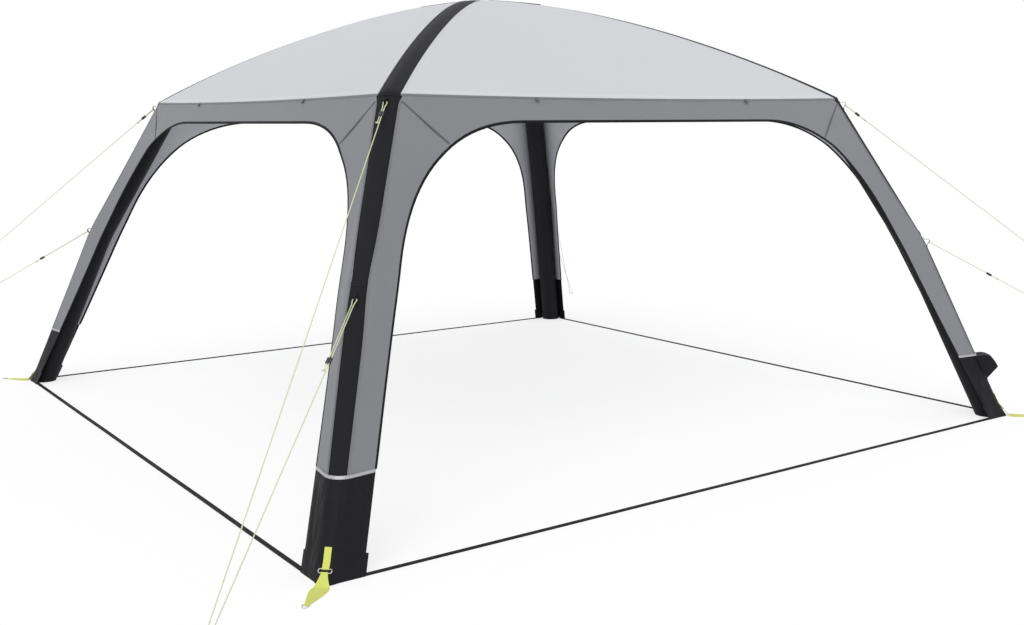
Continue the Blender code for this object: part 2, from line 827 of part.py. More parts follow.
def thickened(mesh, thickness):
    """Closed mesh of a sheet with its wall split evenly about it."""
    holder = bpy.data.objects.new("holder", mesh)
    bpy.context.scene.collection.objects.link(holder)
    solidify(holder, thickness, offset=0.0)
    graph = bpy.context.evaluated_depsgraph_get()
    result = bpy.data.meshes.new_from_object(holder.evaluated_get(graph))
    bpy.data.objects.remove(holder, do_unlink=True)
    form = bmesh.new()
    form.from_mesh(result)
    bmesh.ops.recalc_face_normals(form, faces=form.faces)
    form.to_mesh(result)
    form.free()
    return result


def curl(centre, radius, start, sweep, steps):
    """Points round a bar, from start through sweep, in degrees."""
    points = []
    for i in range(steps + 1):
        angle = math.radians(start + sweep * i / steps)
        points.append((centre[0] + radius * math.cos(angle), centre[1] + radius * math.sin(angle)))
    return points


def wire_mesh(points, radius, name, sides=8):
    """Closed loop of round wire through points, each ring square to the path."""
    count = len(points)
    rings = []
    for i, point in enumerate(points):
        before = Vector(points[i - 1])
        after = Vector(points[(i + 1) % count])
        along = (after - before).normalized()
        across = along.cross(Vector((0.0, 0.0, 1.0)))
        if across.length < 0.2:
            across = along.cross(Vector((1.0, 0.0, 0.0)))
        across.normalize()
        up = across.cross(along)
        ring = []
        for k in range(sides):
            angle = 2.0 * math.pi * k / sides
            ring.append(Vector(point) + (across * math.cos(angle) + up * math.sin(angle)) * radius)
        rings.append(ring)
    return loft_mesh(rings, name, closed=True)


def peg_frame():
    """Upper and lower bar of a peg ring, in a leg's upright plane."""
    surface = lower_axis(RING_HEIGHT) + BEAM_INSET / half_stations()[0].path[1]
    upper_bar = (surface + RING_STAND_OFF, RING_HEIGHT)
    lower_bar = (upper_bar[0] + RING_DROP / ROOT2, RING_HEIGHT - RING_DROP / ROOT2)
    return upper_bar, lower_bar


def peg_web_mesh():
    """Webbing sewn on a foot, folded round the upper bar of its ring."""
    bar, _ = peg_frame()
    radius = RING_WIRE + CURL_GAP + WEB_THICK / 2.0
    path = []
    for z in (WEB_TOP, (WEB_TOP + HEM_HEIGHT) / 2.0, HEM_HEIGHT):
        surface = lower_axis(z) + BEAM_INSET / half_stations()[0].path[1]
        path.append((surface + WEB_THICK * 0.2, z))
    path += curl(bar, radius, 150.0, -300.0, 10)[1:]
    return ribbon(path, [WEB_HALF] * len(path), WEB_THICK, "peg_web")


def ring_points():
    """Centre line of a pegging ring: an upper and a lower bar, round ends."""
    upper, lower = peg_frame()
    points = []
    half = RING_HALF_WIDTH
    radius = math.hypot(upper[0] - lower[0], upper[1] - lower[1]) / 2.0
    middle = ((upper[0] + lower[0]) / 2.0, (upper[1] + lower[1]) / 2.0)
    down = ((lower[0] - upper[0]) / 2.0 / radius, (lower[1] - upper[1]) / 2.0 / radius)
    for sign in (1.0, -1.0):
        for i in range(6):
            angle = math.pi * i / 5.0
            reach = math.cos(angle) * radius * -sign
            w = sign * (half + math.sin(angle) * radius * 0.8)
            points.append((middle[0] + down[0] * reach, w, middle[1] + down[1] * reach))
    return points


def make_peg_rings():
    """Steel ring that joins each foot's webbing to its tab."""
    bar, _ = peg_frame()
    for name, turn in LEGS.items():
        mesh = wire_mesh(ring_points(), RING_WIRE, "peg_ring_" + name)
        ring = add_piece("peg_ring_" + name, mesh, "steel", turn)
        hang_on(ring, pivot("peg_ring_" + name, name, (bar[0], 0.0, bar[1])))


def eye_bar():
    """Bar of the end ring, a tab's length out on the ground."""
    _, bar = peg_frame()
    low = TAB_THICK + CURL_GAP + EYE_WIRE + SEAT
    return (bar[0] + TAB_LENGTH, low)


def make_peg_tabs():
    """Yellow tab from each ring to its end ring: a long leaf on the ground."""
    _, bar = peg_frame()
    radius = RING_WIRE + CURL_GAP + TAB_THICK / 2.0
    ground = TAB_THICK / 2.0 + SEAT
    path = curl(bar, radius, -20.0, 290.0, 10)[::-1]
    widths = [WEB_HALF] * len(path)
    last = path[-1]
    path.append((last[0] + TAB_SLOPE_REACH, (ground + last[1]) / 2.0))
    widths.append((WEB_HALF + TAB_LEAF[0][1]) / 2.0)
    for reach, half in TAB_LEAF:
        path.append((bar[0] + reach, ground))
        widths.append(half)
    eye_radius = EYE_WIRE + CURL_GAP + TAB_THICK / 2.0
    eye = curl(eye_bar(), eye_radius, -90.0, 290.0, 9)
    path += eye
    widths += [TAB_TIP_HALF] * len(eye)
    for name in LEGS:
        mesh = ribbon(path, widths, TAB_THICK, "peg_tab_" + name)
        tab = add_piece("peg_tab_" + name, mesh, "yellow_webbing", LEGS[name], smooth=False)
        hang_on(tab, pivot("peg_tab_" + name, name, (bar[0], 0.0, bar[1])))


def make_peg_eyes():
    """Steel end ring of each tab, a rounded triangle lying on the ground."""
    t, z = eye_bar()
    half = EYE_HALF_WIDTH
    points = [(t, -half, z), (t, 0.0, z), (t, half, z)]
    points += [(t + 0.004, half + 0.0025, z), (t + 0.009, half + 0.001, z)]
    points += [(t + EYE_LENGTH * 0.8, 0.005, z), (t + EYE_LENGTH, 0.0, z)]
    points += [(t + EYE_LENGTH * 0.8, -0.005, z)]
    points += [(t + 0.009, -half - 0.001, z), (t + 0.004, -half - 0.0025, z)]
    for name in LEGS:
        mesh = wire_mesh(points, EYE_WIRE, "peg_eye_" + name)
        eye = add_piece("peg_eye_" + name, mesh, "steel", LEGS[name])
        hang_on(eye, pivot("peg_eye_" + name, name, (t, 0.0, z)))


def turned(profile, sides, name):
    """Turn a profile of radius and height about Z, flat at both ends."""
    rings = []
    for radius, height in profile:
        ring = []
        for k in range(sides):
            angle = 2.0 * math.pi * k / sides
            ring.append((radius * math.cos(angle), radius * math.sin(angle), height))
        rings.append(ring)
    return loft_mesh(rings, name)


def valve_place(leg):
    """Matrix that stands a valve on its leg, its axis square to the sleeve."""
    point, out, along = leg_surface(VALVE_HEIGHT)
    side = along.cross(out)
    turn = Matrix((side, along, out)).transposed().to_4x4()
    return to_leg(leg) @ Matrix.Translation(point) @ turn


def cap_hinge():
    """Point on a cap's hinge line, at the lower edge of the valve's flange."""
    point, out, along = leg_surface(VALVE_HEIGHT)
    return point - along * VALVE_FLANGE + out * (VALVE_CLEARANCE + VALVE_FLANGE_THICK * 2.0)


def make_valves():
    """Inflation valve of each beam: a flanged body and a hinged cap."""
    base = VALVE_CLEARANCE
    step = base + VALVE_FLANGE_THICK
    top = step + VALVE_COLLAR_HEIGHT
    floor = top - VALVE_RECESS_DEPTH
    body = [(VALVE_NECK, -VALVE_NECK_DEPTH), (VALVE_NECK, base), (VALVE_FLANGE, base),
            (VALVE_FLANGE, step), (VALVE_COLLAR, step), (VALVE_COLLAR, top),
            (VALVE_RECESS, top), (VALVE_RECESS, floor), (VALVE_STEM, floor),
            (VALVE_STEM, top - SEAT)]
    inner = VALVE_COLLAR + CURL_GAP
    outer = inner + CAP_WALL
    ceiling = top + SEAT
    skirt = step + CURL_GAP
    cap = [(inner, ceiling), (inner, skirt), (outer, skirt), (outer, ceiling + CAP_WALL / 2.0),
           (inner, ceiling + CAP_WALL)]
    for leg in VALVE_LEGS:
        tag = "rear" if leg == "back_right" else "right"
        place = valve_place(leg)
        mesh = turned(body, 20, "valve_body_" + tag)
        mesh.transform(place)
        add_piece("valve_body_" + tag, mesh, "black_plastic")
        mesh = turned(cap, 20, "valve_cap_" + tag)
        mesh.transform(place)
        part = add_piece("valve_cap_" + tag, mesh, "black_plastic")
        hang_on(part, pivot("valve_cap_" + tag, leg, cap_hinge()))


def flap_hinge():
    """Top edge of a valve flap, just outside the gaiter."""
    z = WINDOW_TOP + FLAP_RISE
    surface = lower_axis(z) + BEAM_INSET / half_stations()[0].path[1]
    return surface + CLOTH / 2.0 - SEAT, z


def make_valve_flaps():
    """Cloth flap over each valve window, standing open as in use."""
    t, z = flap_hinge()
    last = len(FLAP_PROFILE) - 1
    rows = []
    for index, (reach, rise, half) in enumerate(FLAP_PROFILE):
        bend = (1.0 - index / last) / half_stations()[0].path[1]
        row = []
        for share in (-1.0, -0.55, 0.0, 0.55, 1.0):
            w = half * share
            set_back = BEAM_INSET - math.sqrt(BEAM_INSET ** 2 - w * w)
            row.append((t + reach - set_back * bend, w, z + rise))
        rows.append(row)
    for leg in VALVE_LEGS:
        tag = "rear" if leg == "back_right" else "right"
        mesh = thickened(grid_mesh(rows, "flap"), CLOTH)
        flap = add_piece("valve_flap_" + tag, mesh, "black_cloth", LEGS[leg])
        hang_on(flap, pivot("valve_flap_" + tag, leg, (t, 0.0, z)))


def guy_frame(height):
    """Anchor of a guy line on a leg, and the line's direction to the ground."""
    point, out, along = leg_surface(height)
    radius = ANCHOR_REACH / 2.0
    centre = point + out * (radius + SEAT)
    ground = Vector((GUY_GROUND_REACH, 0.0, GUY_DIAMETER))
    line = (ground - centre).normalized()
    set_back = GUY_TURN - math.sqrt(GUY_TURN ** 2 - ANCHOR_HALF ** 2)
    slack = radius - ANCHOR_THICK - GUY_DIAMETER / 2.0 - set_back - GUY_SEAT
    return point, out, along, centre + line * slack, line


def anchor_mesh(height):
    """Webbing loop whose ends are sewn into the sleeve at a height."""
    point, out, along, _, _ = guy_frame(height)
    radius = ANCHOR_REACH / 2.0
    ring = radius - ANCHOR_THICK / 2.0
    steps = [point + out * (-SLEEVE_WALL * 0.6) + along * ring]
    for i in range(9):
        angle = math.pi * i / 8.0
        place = point + out * (SEAT + radius + ring * math.sin(angle))
        steps.append(place + along * (ring * math.cos(angle)))
    steps.append(point + out * (-SLEEVE_WALL * 0.6) - along * ring)
    path = [(place.x, place.z) for place in steps]
    return ribbon(path, [ANCHOR_HALF] * len(path), ANCHOR_THICK, "guy_anchor")


def guy_route(height, drop, aside):
    """Points of a guy line: its tail, round the anchor, then to the ground."""
    _, _, _, apex, line = guy_frame(height)
    across = Vector((0.0, 1.0, 0.0))
    near = GUY_TURN + 0.032

    def at(along, w):
        return apex + line * along + across * w

    points = [at(drop + GUY_TAIL, -GUY_SPACING), at(drop, -GUY_SPACING), at(near, -GUY_SPACING)]
    for i in range(7):
        angle = math.pi * i / 6.0
        points.append(at(GUY_TURN * (1.0 - math.sin(angle)), -GUY_TURN * math.cos(angle)))
    points += [at(near, GUY_SPACING), at(drop + GUY_TAIL, GUY_SPACING)]
    end = Vector((GUY_GROUND_REACH, aside, GUY_DIAMETER))
    points.append(points[-1].lerp(end, 0.5))
    points.append(end)
    return points, line, at(drop, 0.0)


def make_guy_lines():
    """Guy lines, two on each leg, each through its line slider."""
    runs = (("upper", UPPER_ANCHOR_HEIGHT, UPPER_SLIDER_DROP, 0.012),
            ("lower", LOWER_ANCHOR_HEIGHT, LOWER_SLIDER_DROP, -0.012))
    for level, height, drop, aside in runs:
        points, line, middle = guy_route(height, drop, aside)
        across = Vector((0.0, 1.0, 0.0))
        up = across.cross(line)
        outer = (SLIDER_HALF_WIDTH, SLIDER_DEPTH + SLIDER_HOLE)
        slot = (GUY_SPACING + SLIDER_HOLE, SLIDER_HOLE)
        rings = []
        ends = ((outer, -1.0), (outer, 1.0), (slot, 1.0), (slot, -1.0))
        for (wide, deep), end in ends:
            ring = []
            for k in range(16):
                angle = 2.0 * math.pi * (k + 0.5) / 16
                w = wide - deep
                side = math.copysign(w, math.cos(angle)) + deep * math.cos(angle)
                ring.append(middle + across * side + up * (deep * math.sin(angle))
                            + line * (end * SLIDER_LENGTH / 2.0))
            rings.append(ring)
        for name in LEGS:
            curve = bpy.data.curves.new("guy", "CURVE")
            curve.dimensions = "3D"
            curve.bevel_depth = GUY_DIAMETER / 2.0
            curve.bevel_resolution = 1
            curve.use_fill_caps = True
            spline = curve.splines.new("POLY")
            spline.points.add(len(points) - 1)
            for knot, point in zip(spline.points, points):
                knot.co = (*point, 1.0)
            cord = bpy.data.objects.new("guy_line_%s_%s" % (level, name), curve)
            get_collection(COLLECTION).objects.link(cord)
            cord.rotation_euler.z = math.radians(LEGS[name])
            curve.materials.append(make_material("yellow_cord"))
            title = "guy_slider_%s_%s" % (level, name)
            slider = add_piece(title, loft_mesh(rings, title, closed=True), "black_plastic",
                               LEGS[name])
            hang_on(slider, pivot(title, name, middle))


def main():
    clear_scene()
    make_beams()
    make_crown_patch()
    make_roof_panels()
    make_side_panels()
    make_edge_bindings()
    make_gaiters()
    make_ground_straps()
    make_peg_rings()
    make_peg_tabs()
    make_peg_eyes()
    make_valves()
    make_valve_flaps()
    make_guy_lines()


main()
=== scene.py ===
"""Inflatable camping shelter: cloth, webbing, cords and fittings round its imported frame.

Everything is in metres, +Z up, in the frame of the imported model. The front
doorway faces -Y and the right doorway faces +X. A leg's own frame has +X
outwards along the square's diagonal and is turned about Z to its corner.
"""
import math

import bpy
from mathutils import Matrix, Quaternion, Vector, noise


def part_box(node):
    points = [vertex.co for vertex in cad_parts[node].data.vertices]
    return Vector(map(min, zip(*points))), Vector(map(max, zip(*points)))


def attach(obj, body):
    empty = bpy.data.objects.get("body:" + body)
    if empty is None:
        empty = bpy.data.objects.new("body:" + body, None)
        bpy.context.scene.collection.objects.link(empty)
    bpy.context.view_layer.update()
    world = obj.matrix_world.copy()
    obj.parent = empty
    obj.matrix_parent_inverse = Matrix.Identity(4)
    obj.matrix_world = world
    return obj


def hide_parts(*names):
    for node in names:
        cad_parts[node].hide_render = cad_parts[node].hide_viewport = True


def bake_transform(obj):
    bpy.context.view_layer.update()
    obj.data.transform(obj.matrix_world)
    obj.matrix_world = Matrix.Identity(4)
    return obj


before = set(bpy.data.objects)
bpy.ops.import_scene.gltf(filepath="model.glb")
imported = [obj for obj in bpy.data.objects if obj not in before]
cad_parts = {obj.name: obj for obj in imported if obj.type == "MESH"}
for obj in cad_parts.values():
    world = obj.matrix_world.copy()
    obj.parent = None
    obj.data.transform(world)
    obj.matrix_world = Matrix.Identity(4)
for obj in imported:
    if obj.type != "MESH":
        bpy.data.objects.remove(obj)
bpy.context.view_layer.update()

bl_info = {
    "name": "Air Beam Shelter",
    "version": (1, 0, 0),
    "blender": (4, 5, 0),
    "location": "View3D > Sidebar > Shelter",
    "description": "Builds an open-sided inflatable camping shelter",
    "category": "Add Mesh",
}

ROOT = "shelter"
ROOT2 = math.sqrt(2.0)
LEGS = {"front_left": 225.0, "front_right": 315.0, "back_right": 45.0, "back_left": 135.0}
SIDES = {"front": 0.0, "right": 90.0, "back": 180.0, "left": 270.0}
BEAMS = {"rear": "back_right", "right": "front_right"}


def length(name, default, description):
    return bpy.props.FloatProperty(name=name, default=default, description=description,
                                   unit="LENGTH", min=0.0)


def turning(name, default, description):
    return bpy.props.FloatProperty(name=name, default=default, description=description,
                                   subtype="ANGLE")


def colour(name, default, description):
    return bpy.props.FloatVectorProperty(name=name, default=default, description=description,
                                         subtype="COLOR", size=3, min=0.0, max=1.0)


class ShelterSizes(bpy.types.PropertyGroup):
    """Sizes of the shelter's main forms."""
    ground_half: length("Ground half width", 2.05, "Half the side of the square on the ground")
    knee_half: length("Knee half width", 1.73, "Half width where the legs bend")
    knee_height: length("Knee height", 0.94, "Height where the legs bend")
    eave_half: length("Eave half width", 1.385, "Half width at the eave")
    eave_height: length("Eave height", 1.70, "Height of the eave at its corners")
    crown_height: length("Crown height", 2.24, "Height of the roof at its middle")
    eave_handle: length("Eave reach", 0.406, "How far the roof runs straight on from the eave")
    crown_handle: length("Crown reach", 0.45, "How far the roof runs level from the crown")
    roof_slope: turning("Roof slope", math.radians(34.5), "Slope of the roof at the eave")
    foot_wing: length("Foot wing", 0.155, "Wall beside a doorway at the ground")
    shoulder_wing: length("Shoulder wing", 0.19, "Wall beside a doorway where its arch starts")
    shoulder_height: length("Shoulder height", 1.05, "Height where a doorway starts to arch")
    shoulder_handle: length("Shoulder reach", 0.36, "Roundness of a doorway's arch at its side")
    lintel_half: length("Lintel", 0.75, "Half width of a doorway's level top")
    lintel_height: length("Lintel height", 1.59, "Height of a doorway's level top")
    lintel_handle: length("Lintel reach", 0.38, "Roundness of a doorway's arch at its top")
    wrap_top: length("Wrap height", 1.45, "Height up to which the walls wrap round the legs")
    wrap_knee: turning("Wrap at the knee", math.radians(16.0),
                       "How far the walls wrap round the legs, beyond where they meet them")
    beam_radius: length("Beam radius", 0.065, "Radius of a sleeved air beam")
    gaiter_top: length("Gaiter top", 0.34, "Height of the black foot gaiters")
    cloth: length("Cloth", 0.002, "Thickness of the cloth, seams and hems included")
    guy_diameter: length("Guy line diameter", 0.004, "Diameter of the guy lines")
    guy_reach: length("Guy line reach", 4.18, "Distance from the centre to a guy line's ground end")


class ShelterColours(bpy.types.PropertyGroup):
    """Colours of the shelter's materials."""
    roof: colour("Roof", (0.655, 0.665, 0.685), "Pale grey roof cloth")
    wall: colour("Walls", (0.238, 0.242, 0.255), "Mid grey wall cloth")
    black: colour("Black cloth", (0.0098, 0.0098, 0.0120), "Sleeves, gaiters and flaps")
    tape: colour("Tape", (0.009, 0.009, 0.0105), "Edge tape and ground straps")
    webbing: colour("Webbing", (0.80, 0.86, 0.18), "Yellow pegging webbing")
    cord: colour("Guy lines", (0.70, 0.73, 0.49), "Yellow-green guy lines")
    silver: colour("Reflective band", (0.42, 0.42, 0.44), "Reflective band on the feet")
    steel: colour("Steel", (0.50, 0.51, 0.52), "Rings and eyes")
    plastic: colour("Plastic", (0.022, 0.022, 0.025), "Valves, sliders and toggles")
    bladder: colour("Air tube", (0.72, 0.75, 0.78), "Air tubes inside the sleeves")


def unit2(x, y):
    """Direction (x, y) with length 1."""
    size = math.hypot(x, y)
    return x / size, y / size


def normal2(direction):
    """Outward normal of a direction that climbs the section."""
    return direction[1], -direction[0]


def bezier(points, u):
    """Point (x, y) at share u of a cubic curve."""
    v = 1.0 - u
    blend = (v ** 3, 3 * v * v * u, 3 * v * u * u, u ** 3)
    return tuple(sum(b * p[i] for b, p in zip(blend, points)) for i in (0, 1))


def smooth_step(value, low, high):
    """0 up to low, 1 from high on, smooth between."""
    share = min(1.0, max(0.0, (value - low) / (high - low)))
    return share * share * (3.0 - 2.0 * share)


def ripple(place, scale, seed):
    """Smooth noise between about -1 and 1, the same at every run."""
    return noise.noise(Vector(place) * scale + Vector((seed, seed * 1.7, seed * 0.6)))


def spaced(start, step, count):
    """Places at even steps from start on."""
    return [start + step * i for i in range(count)]


def last_before(low, high, passed):
    """Place between low and high, found by halving, up to which passed(place) holds."""
    for _ in range(40):
        middle = (low + high) / 2.0
        if passed(middle):
            low = middle
        else:
            high = middle
    return high


class Form:
    """The shelter's outer shape, worked out from its sizes."""
    KNEE_ROUND = 0.07
    SEAT = 0.0003
    EAVE_SEAM = 0.0001
    EAVE_SAG = 0.013
    ROOF_SAG = 0.022
    STRIP_FOOT = 0.034
    STRIP_EAVE = 0.046
    STRIP_PINCH = 0.007
    ROOF_EDGE = 0.046
    BEAM_FLAT = 0.065
    BEAM_ROLL = 0.4
    PINCH_REACH = 0.30
    PINCH_FLAT = 0.075
    CROSS_GAP = 0.0045
    KNEE_NECK = 0.06
    KNEE_SPREAD = 0.13
    GAITER_GAP = 0.0009
    JAMB_STEPS = 14
    ARCH_STEPS = 22
    LINTEL_STEPS = 12
    LEG_RINGS = (0.14, 0.07, 11)
    KNEE_RINGS = (-0.05, 0.025, 5)
    ARM_RINGS = (0.11, 0.08, 7)
    EAVE_RING = 0.055
    ROOF_START = (0.028, 0.55)
    ROOF_RINGS = (0.055, 0.045, 18)
    CROSS_RINGS = (0.36, PINCH_REACH, 0.26, 0.22, 0.18, 0.145, 0.11, PINCH_FLAT, 0.04, 0.0)
    RING_GAP = 0.01
    FLAT_SPREAD = 1.35
    ROLL_EDGE = 0.2
    ROLL_RISE = 3.0
    SAG_GROWTH = 5.0
    DROP_FADE = 6.0

    def __init__(self, sizes):
        self.s = sizes
        self.low = unit2(sizes.knee_half - sizes.ground_half, sizes.knee_height)
        self.high = unit2(sizes.eave_half - sizes.knee_half,
                          sizes.eave_height - sizes.knee_height)
        self.inset = sizes.beam_radius + sizes.cloth + self.SEAT

    def wall_half(self, z):
        """Half width of the shelter at height z, the knee a little rounded."""
        s = self.s
        below = self.low[0] / self.low[1]
        above = self.high[0] / self.high[1]
        slope = below if z < s.knee_height else above
        half = s.knee_half + (z - s.knee_height) * slope
        near = max(0.0, self.KNEE_ROUND - abs(z - s.knee_height))
        return half + (above - below) * near * near / (4.0 * self.KNEE_ROUND)

    def wall_direction(self, z):
        """Direction in which the wall climbs at height z."""
        turn = smooth_step(z, self.s.knee_height - self.KNEE_ROUND,
                           self.s.knee_height + self.KNEE_ROUND)
        return unit2(*(a + (b - a) * turn for a, b in zip(self.low, self.high)))

    def roof_point(self, u):
        """Half width and height of the roof, at share u from eave to crown."""
        s = self.s
        rise = (s.eave_half - s.eave_handle * math.cos(s.roof_slope),
                s.eave_height + s.eave_handle * math.sin(s.roof_slope))
        return bezier(((s.eave_half, s.eave_height), rise, (s.crown_handle, s.crown_height),
                       (0.0, s.crown_height)), u)

    def roof_direction(self, u):
        step = 0.001
        a = self.roof_point(max(0.0, u - step))
        b = self.roof_point(min(1.0, u + step))
        return unit2(b[0] - a[0], b[1] - a[1])

    def roof_share(self, half):
        """Share along the roof's section where its half width is given."""
        return last_before(0.0, 1.0, lambda u: self.roof_point(u)[0] > half)

    def strip_half(self, z):
        """Half width of the black strip between two walls, drawn in at the knee."""
        share = min(1.0, max(0.0, z / self.s.eave_height))
        near = (z - self.s.knee_height - self.KNEE_NECK) / self.KNEE_SPREAD
        return (self.STRIP_FOOT + (self.STRIP_EAVE - self.STRIP_FOOT) * share
                - self.STRIP_PINCH * math.exp(-near * near))

    def roof_gap(self):
        """Distance along the eave from the corner to a roof cloth's edge."""
        return ROOT2 * (self.ROOF_EDGE + self.s.cloth * 0.5 + self.SEAT)

    def wall_edge(self, z):
        """Half width of a wall's outer edge, beside the black strip."""
        return self.wall_half(z) - ROOT2 * self.strip_half(z)

    def jamb_half(self, z):
        """Half width of a doorway below its arch."""
        s = self.s
        foot = s.ground_half - s.foot_wing
        shoulder = self.wall_half(s.shoulder_height) - s.shoulder_wing
        return foot + (shoulder - foot) * z / s.shoulder_height

    def eave_drop(self, x):
        """How far the eave hangs at x, between two legs."""
        return self.EAVE_SAG * (1.0 - (x / self.s.eave_half) ** 2)

    def doorway(self):
        """Right half of a doorway's edge as (x, z), from gaiter to middle."""
        s = self.s
        start = s.gaiter_top + self.GAITER_GAP
        points = []
        for i in range(self.JAMB_STEPS + 1):
            z = start + (s.shoulder_height - start) * i / self.JAMB_STEPS
            points.append((self.jamb_half(z), z))
        shoulder = self.jamb_half(s.shoulder_height)
        rise = unit2(shoulder - self.jamb_half(0.0), s.shoulder_height)
        handles = ((shoulder, s.shoulder_height),
                   (shoulder + rise[0] * s.shoulder_handle,
                    s.shoulder_height + rise[1] * s.shoulder_handle),
                   (s.lintel_half + s.lintel_handle, s.lintel_height),
                   (s.lintel_half, s.lintel_height))
        points += [bezier(handles, i / self.ARCH_STEPS) for i in range(1, self.ARCH_STEPS + 1)]
        points += [(s.lintel_half * (1.0 - i / self.LINTEL_STEPS), s.lintel_height)
                   for i in range(1, self.LINTEL_STEPS + 1)]
        return points

    def wall_outline(self):
        """Outer edge points that pair with the doorway's points."""
        s = self.s
        top = s.eave_height - self.EAVE_SEAM
        corner = self.wall_edge(top)
        rise = top - s.shoulder_height
        across = corner - s.lintel_half
        points = []
        for index, (x, z) in enumerate(self.doorway()):
            if index <= self.JAMB_STEPS:
                points.append((self.wall_edge(z), z))
            elif index <= self.JAMB_STEPS + self.ARCH_STEPS:
                way = (index - self.JAMB_STEPS) / self.ARCH_STEPS * (rise + across)
                if way <= rise * 1.02:
                    height = s.shoulder_height + min(way, rise)
                    points.append((self.wall_edge(height), height))
                else:
                    points.append((corner - (way - rise), top))
            else:
                points.append((x, top))
        return points

    def wall_place(self, x, z, push=0.0):
        """Point on the front wall's outside, raised by push; it wraps round the legs."""
        s = self.s
        near_top = max(0.0, (z - s.lintel_height) / (s.eave_height - s.lintel_height))
        cut = LegCut(self, z - self.eave_drop(x) * near_top)
        t, w, height = cut.wing(cut.tangent - abs(x), push)
        return Vector((math.copysign((t - w) / ROOT2, x), -(t + w) / ROOT2, height))

    def roof_place(self, x, u, push=0.0):
        """Point on the front roof panel's outside, raised by push."""
        half, height = self.roof_point(u)
        width = max(0.001, half - self.roof_gap())
        share = min(1.0, abs(x) / width)
        normal = normal2(self.roof_direction(u))
        sag = self.ROOF_SAG * (1.0 - share * share) * width / self.s.eave_half
        sag = sag * min(1.0, u * self.SAG_GROWTH) - push
        drop = self.eave_drop(x) * max(0.0, 1.0 - u * self.DROP_FADE)
        out = half - normal[0] * sag - drop * self.high[0] / self.high[1]
        return Vector((x, -out, height - normal[1] * sag - drop))

    def station(self, point, before, after, spread):
        """Ring of a beam: axis place, outward direction, lean and flatness."""
        n1 = normal2(before)
        n2 = normal2(after)
        share = 1.0 + n1[0] * n2[0] + n1[1] * n2[1]
        t = (point[0] - (n1[0] + n2[0]) / share * self.inset) * ROOT2
        z = point[1] - (n1[1] + n2[1]) / share * self.inset
        d1 = unit2(before[0] * ROOT2, before[1])
        d2 = unit2(after[0] * ROOT2, after[1])
        path = unit2(d1[0] + d2[0], d1[1] + d2[1])
        stretch = 1.0 / max(0.5, path[0] * d1[0] + path[1] * d1[1])
        side = normal2(path)
        return {"t": t, "z": z, "path": path, "out": (side[0] * stretch, side[1] * stretch),
                "lean": (n1[0] + n2[0]) / 2.0 / ROOT2, "spread": spread}

    def wall_station(self, z):
        """Ring of a beam behind the wall at height z."""
        direction = self.wall_direction(z)
        return self.station((self.wall_half(z), z), direction, direction, 0.0)

    def roof_station(self, u, spread=1.0):
        """Ring of a beam under the roof at share u."""
        direction = self.roof_direction(u)
        return self.station(self.roof_point(u), direction, direction, spread)

    def half_stations(self):
        """Rings of a beam from a foot up to the crown."""
        s = self.s
        foot = self.wall_station(0.0)
        foot["t"] -= foot["z"] * foot["path"][0] / foot["path"][1]
        foot["z"] = 0.0
        foot["out"] = (1.0 / foot["path"][1], 0.0)
        row = [foot]
        knee = s.knee_height
        heights = spaced(*self.LEG_RINGS)
        for start, step, count in (self.KNEE_RINGS, self.ARM_RINGS):
            heights += spaced(knee + start, step, count)
        heights.append(s.eave_height - self.EAVE_RING)
        row += [self.wall_station(z) for z in heights]
        eave = (s.eave_half, s.eave_height)
        row.append(self.station(eave, self.high, self.roof_direction(0.0), 0.0))
        row.append(self.roof_station(*self.ROOF_START))
        row += [self.roof_station(u) for u in spaced(*self.ROOF_RINGS)]
        last = row[-1]["t"] - self.RING_GAP
        row += [self.roof_station(self.axis_share(t)) for t in self.CROSS_RINGS if t < last]
        return row

    def axis_share(self, t):
        """Share along the roof where a beam's axis is t from the middle."""
        return last_before(0.3, 1.0, lambda u: self.roof_station(u)["t"] > t)

    def pinch(self, t):
        """How far a beam is pressed flat at t along it: 1 at the crossing."""
        return 1.0 - smooth_step(abs(t), self.PINCH_FLAT, self.PINCH_REACH)

    def section(self, station, angle, radius, flat_top):
        """Point of a beam's section: round on a leg, flat topped on the roof."""
        w = radius * math.cos(angle)
        h = radius * math.sin(angle)
        grow = station["spread"] if flat_top else 0.0
        if h <= 1e-6 or grow <= 0.0:
            return w, h
        lean = station["lean"]
        rise = math.sqrt(1.0 - lean * lean)
        reach = 1.0 - abs(angle - math.pi / 2.0) / (math.pi / 2.0)
        flat_w = math.copysign(self.BEAM_FLAT * min(1.0, abs(w) / radius * self.FLAT_SPREAD), w)
        flat_h = min(radius, (radius - lean * abs(flat_w)) / rise)
        flat_h -= self.BEAM_ROLL * flat_w * flat_w
        if reach < self.ROLL_EDGE:
            flat_h = min(flat_h, h * self.ROLL_RISE)
        return w + (flat_w - w) * grow, h + (flat_h - h) * grow

    def lower_axis(self, z):
        """Distance of a lower leg's axis from the middle at height z."""
        foot = self.wall_station(0.0)
        start = foot["t"] - foot["z"] * foot["path"][0] / foot["path"][1]
        return start + z * foot["path"][0] / foot["path"][1]

    def upright(self, station):
        """A ring's centre, its direction outwards and its direction up the leg."""
        side = normal2(station["path"])
        out = Vector((side[0], 0.0, side[1])).normalized()
        along = Vector((station["path"][0], 0.0, station["path"][1])).normalized()
        return Vector((station["t"], 0.0, station["z"])), out, along

    def leg_axis(self, z):
        return self.upright(self.wall_station(z))

    def leg_surface(self, z):
        """Outermost point of a leg at height z, and its directions."""
        centre, out, along = self.leg_axis(z)
        return centre + out * self.s.beam_radius, out, along

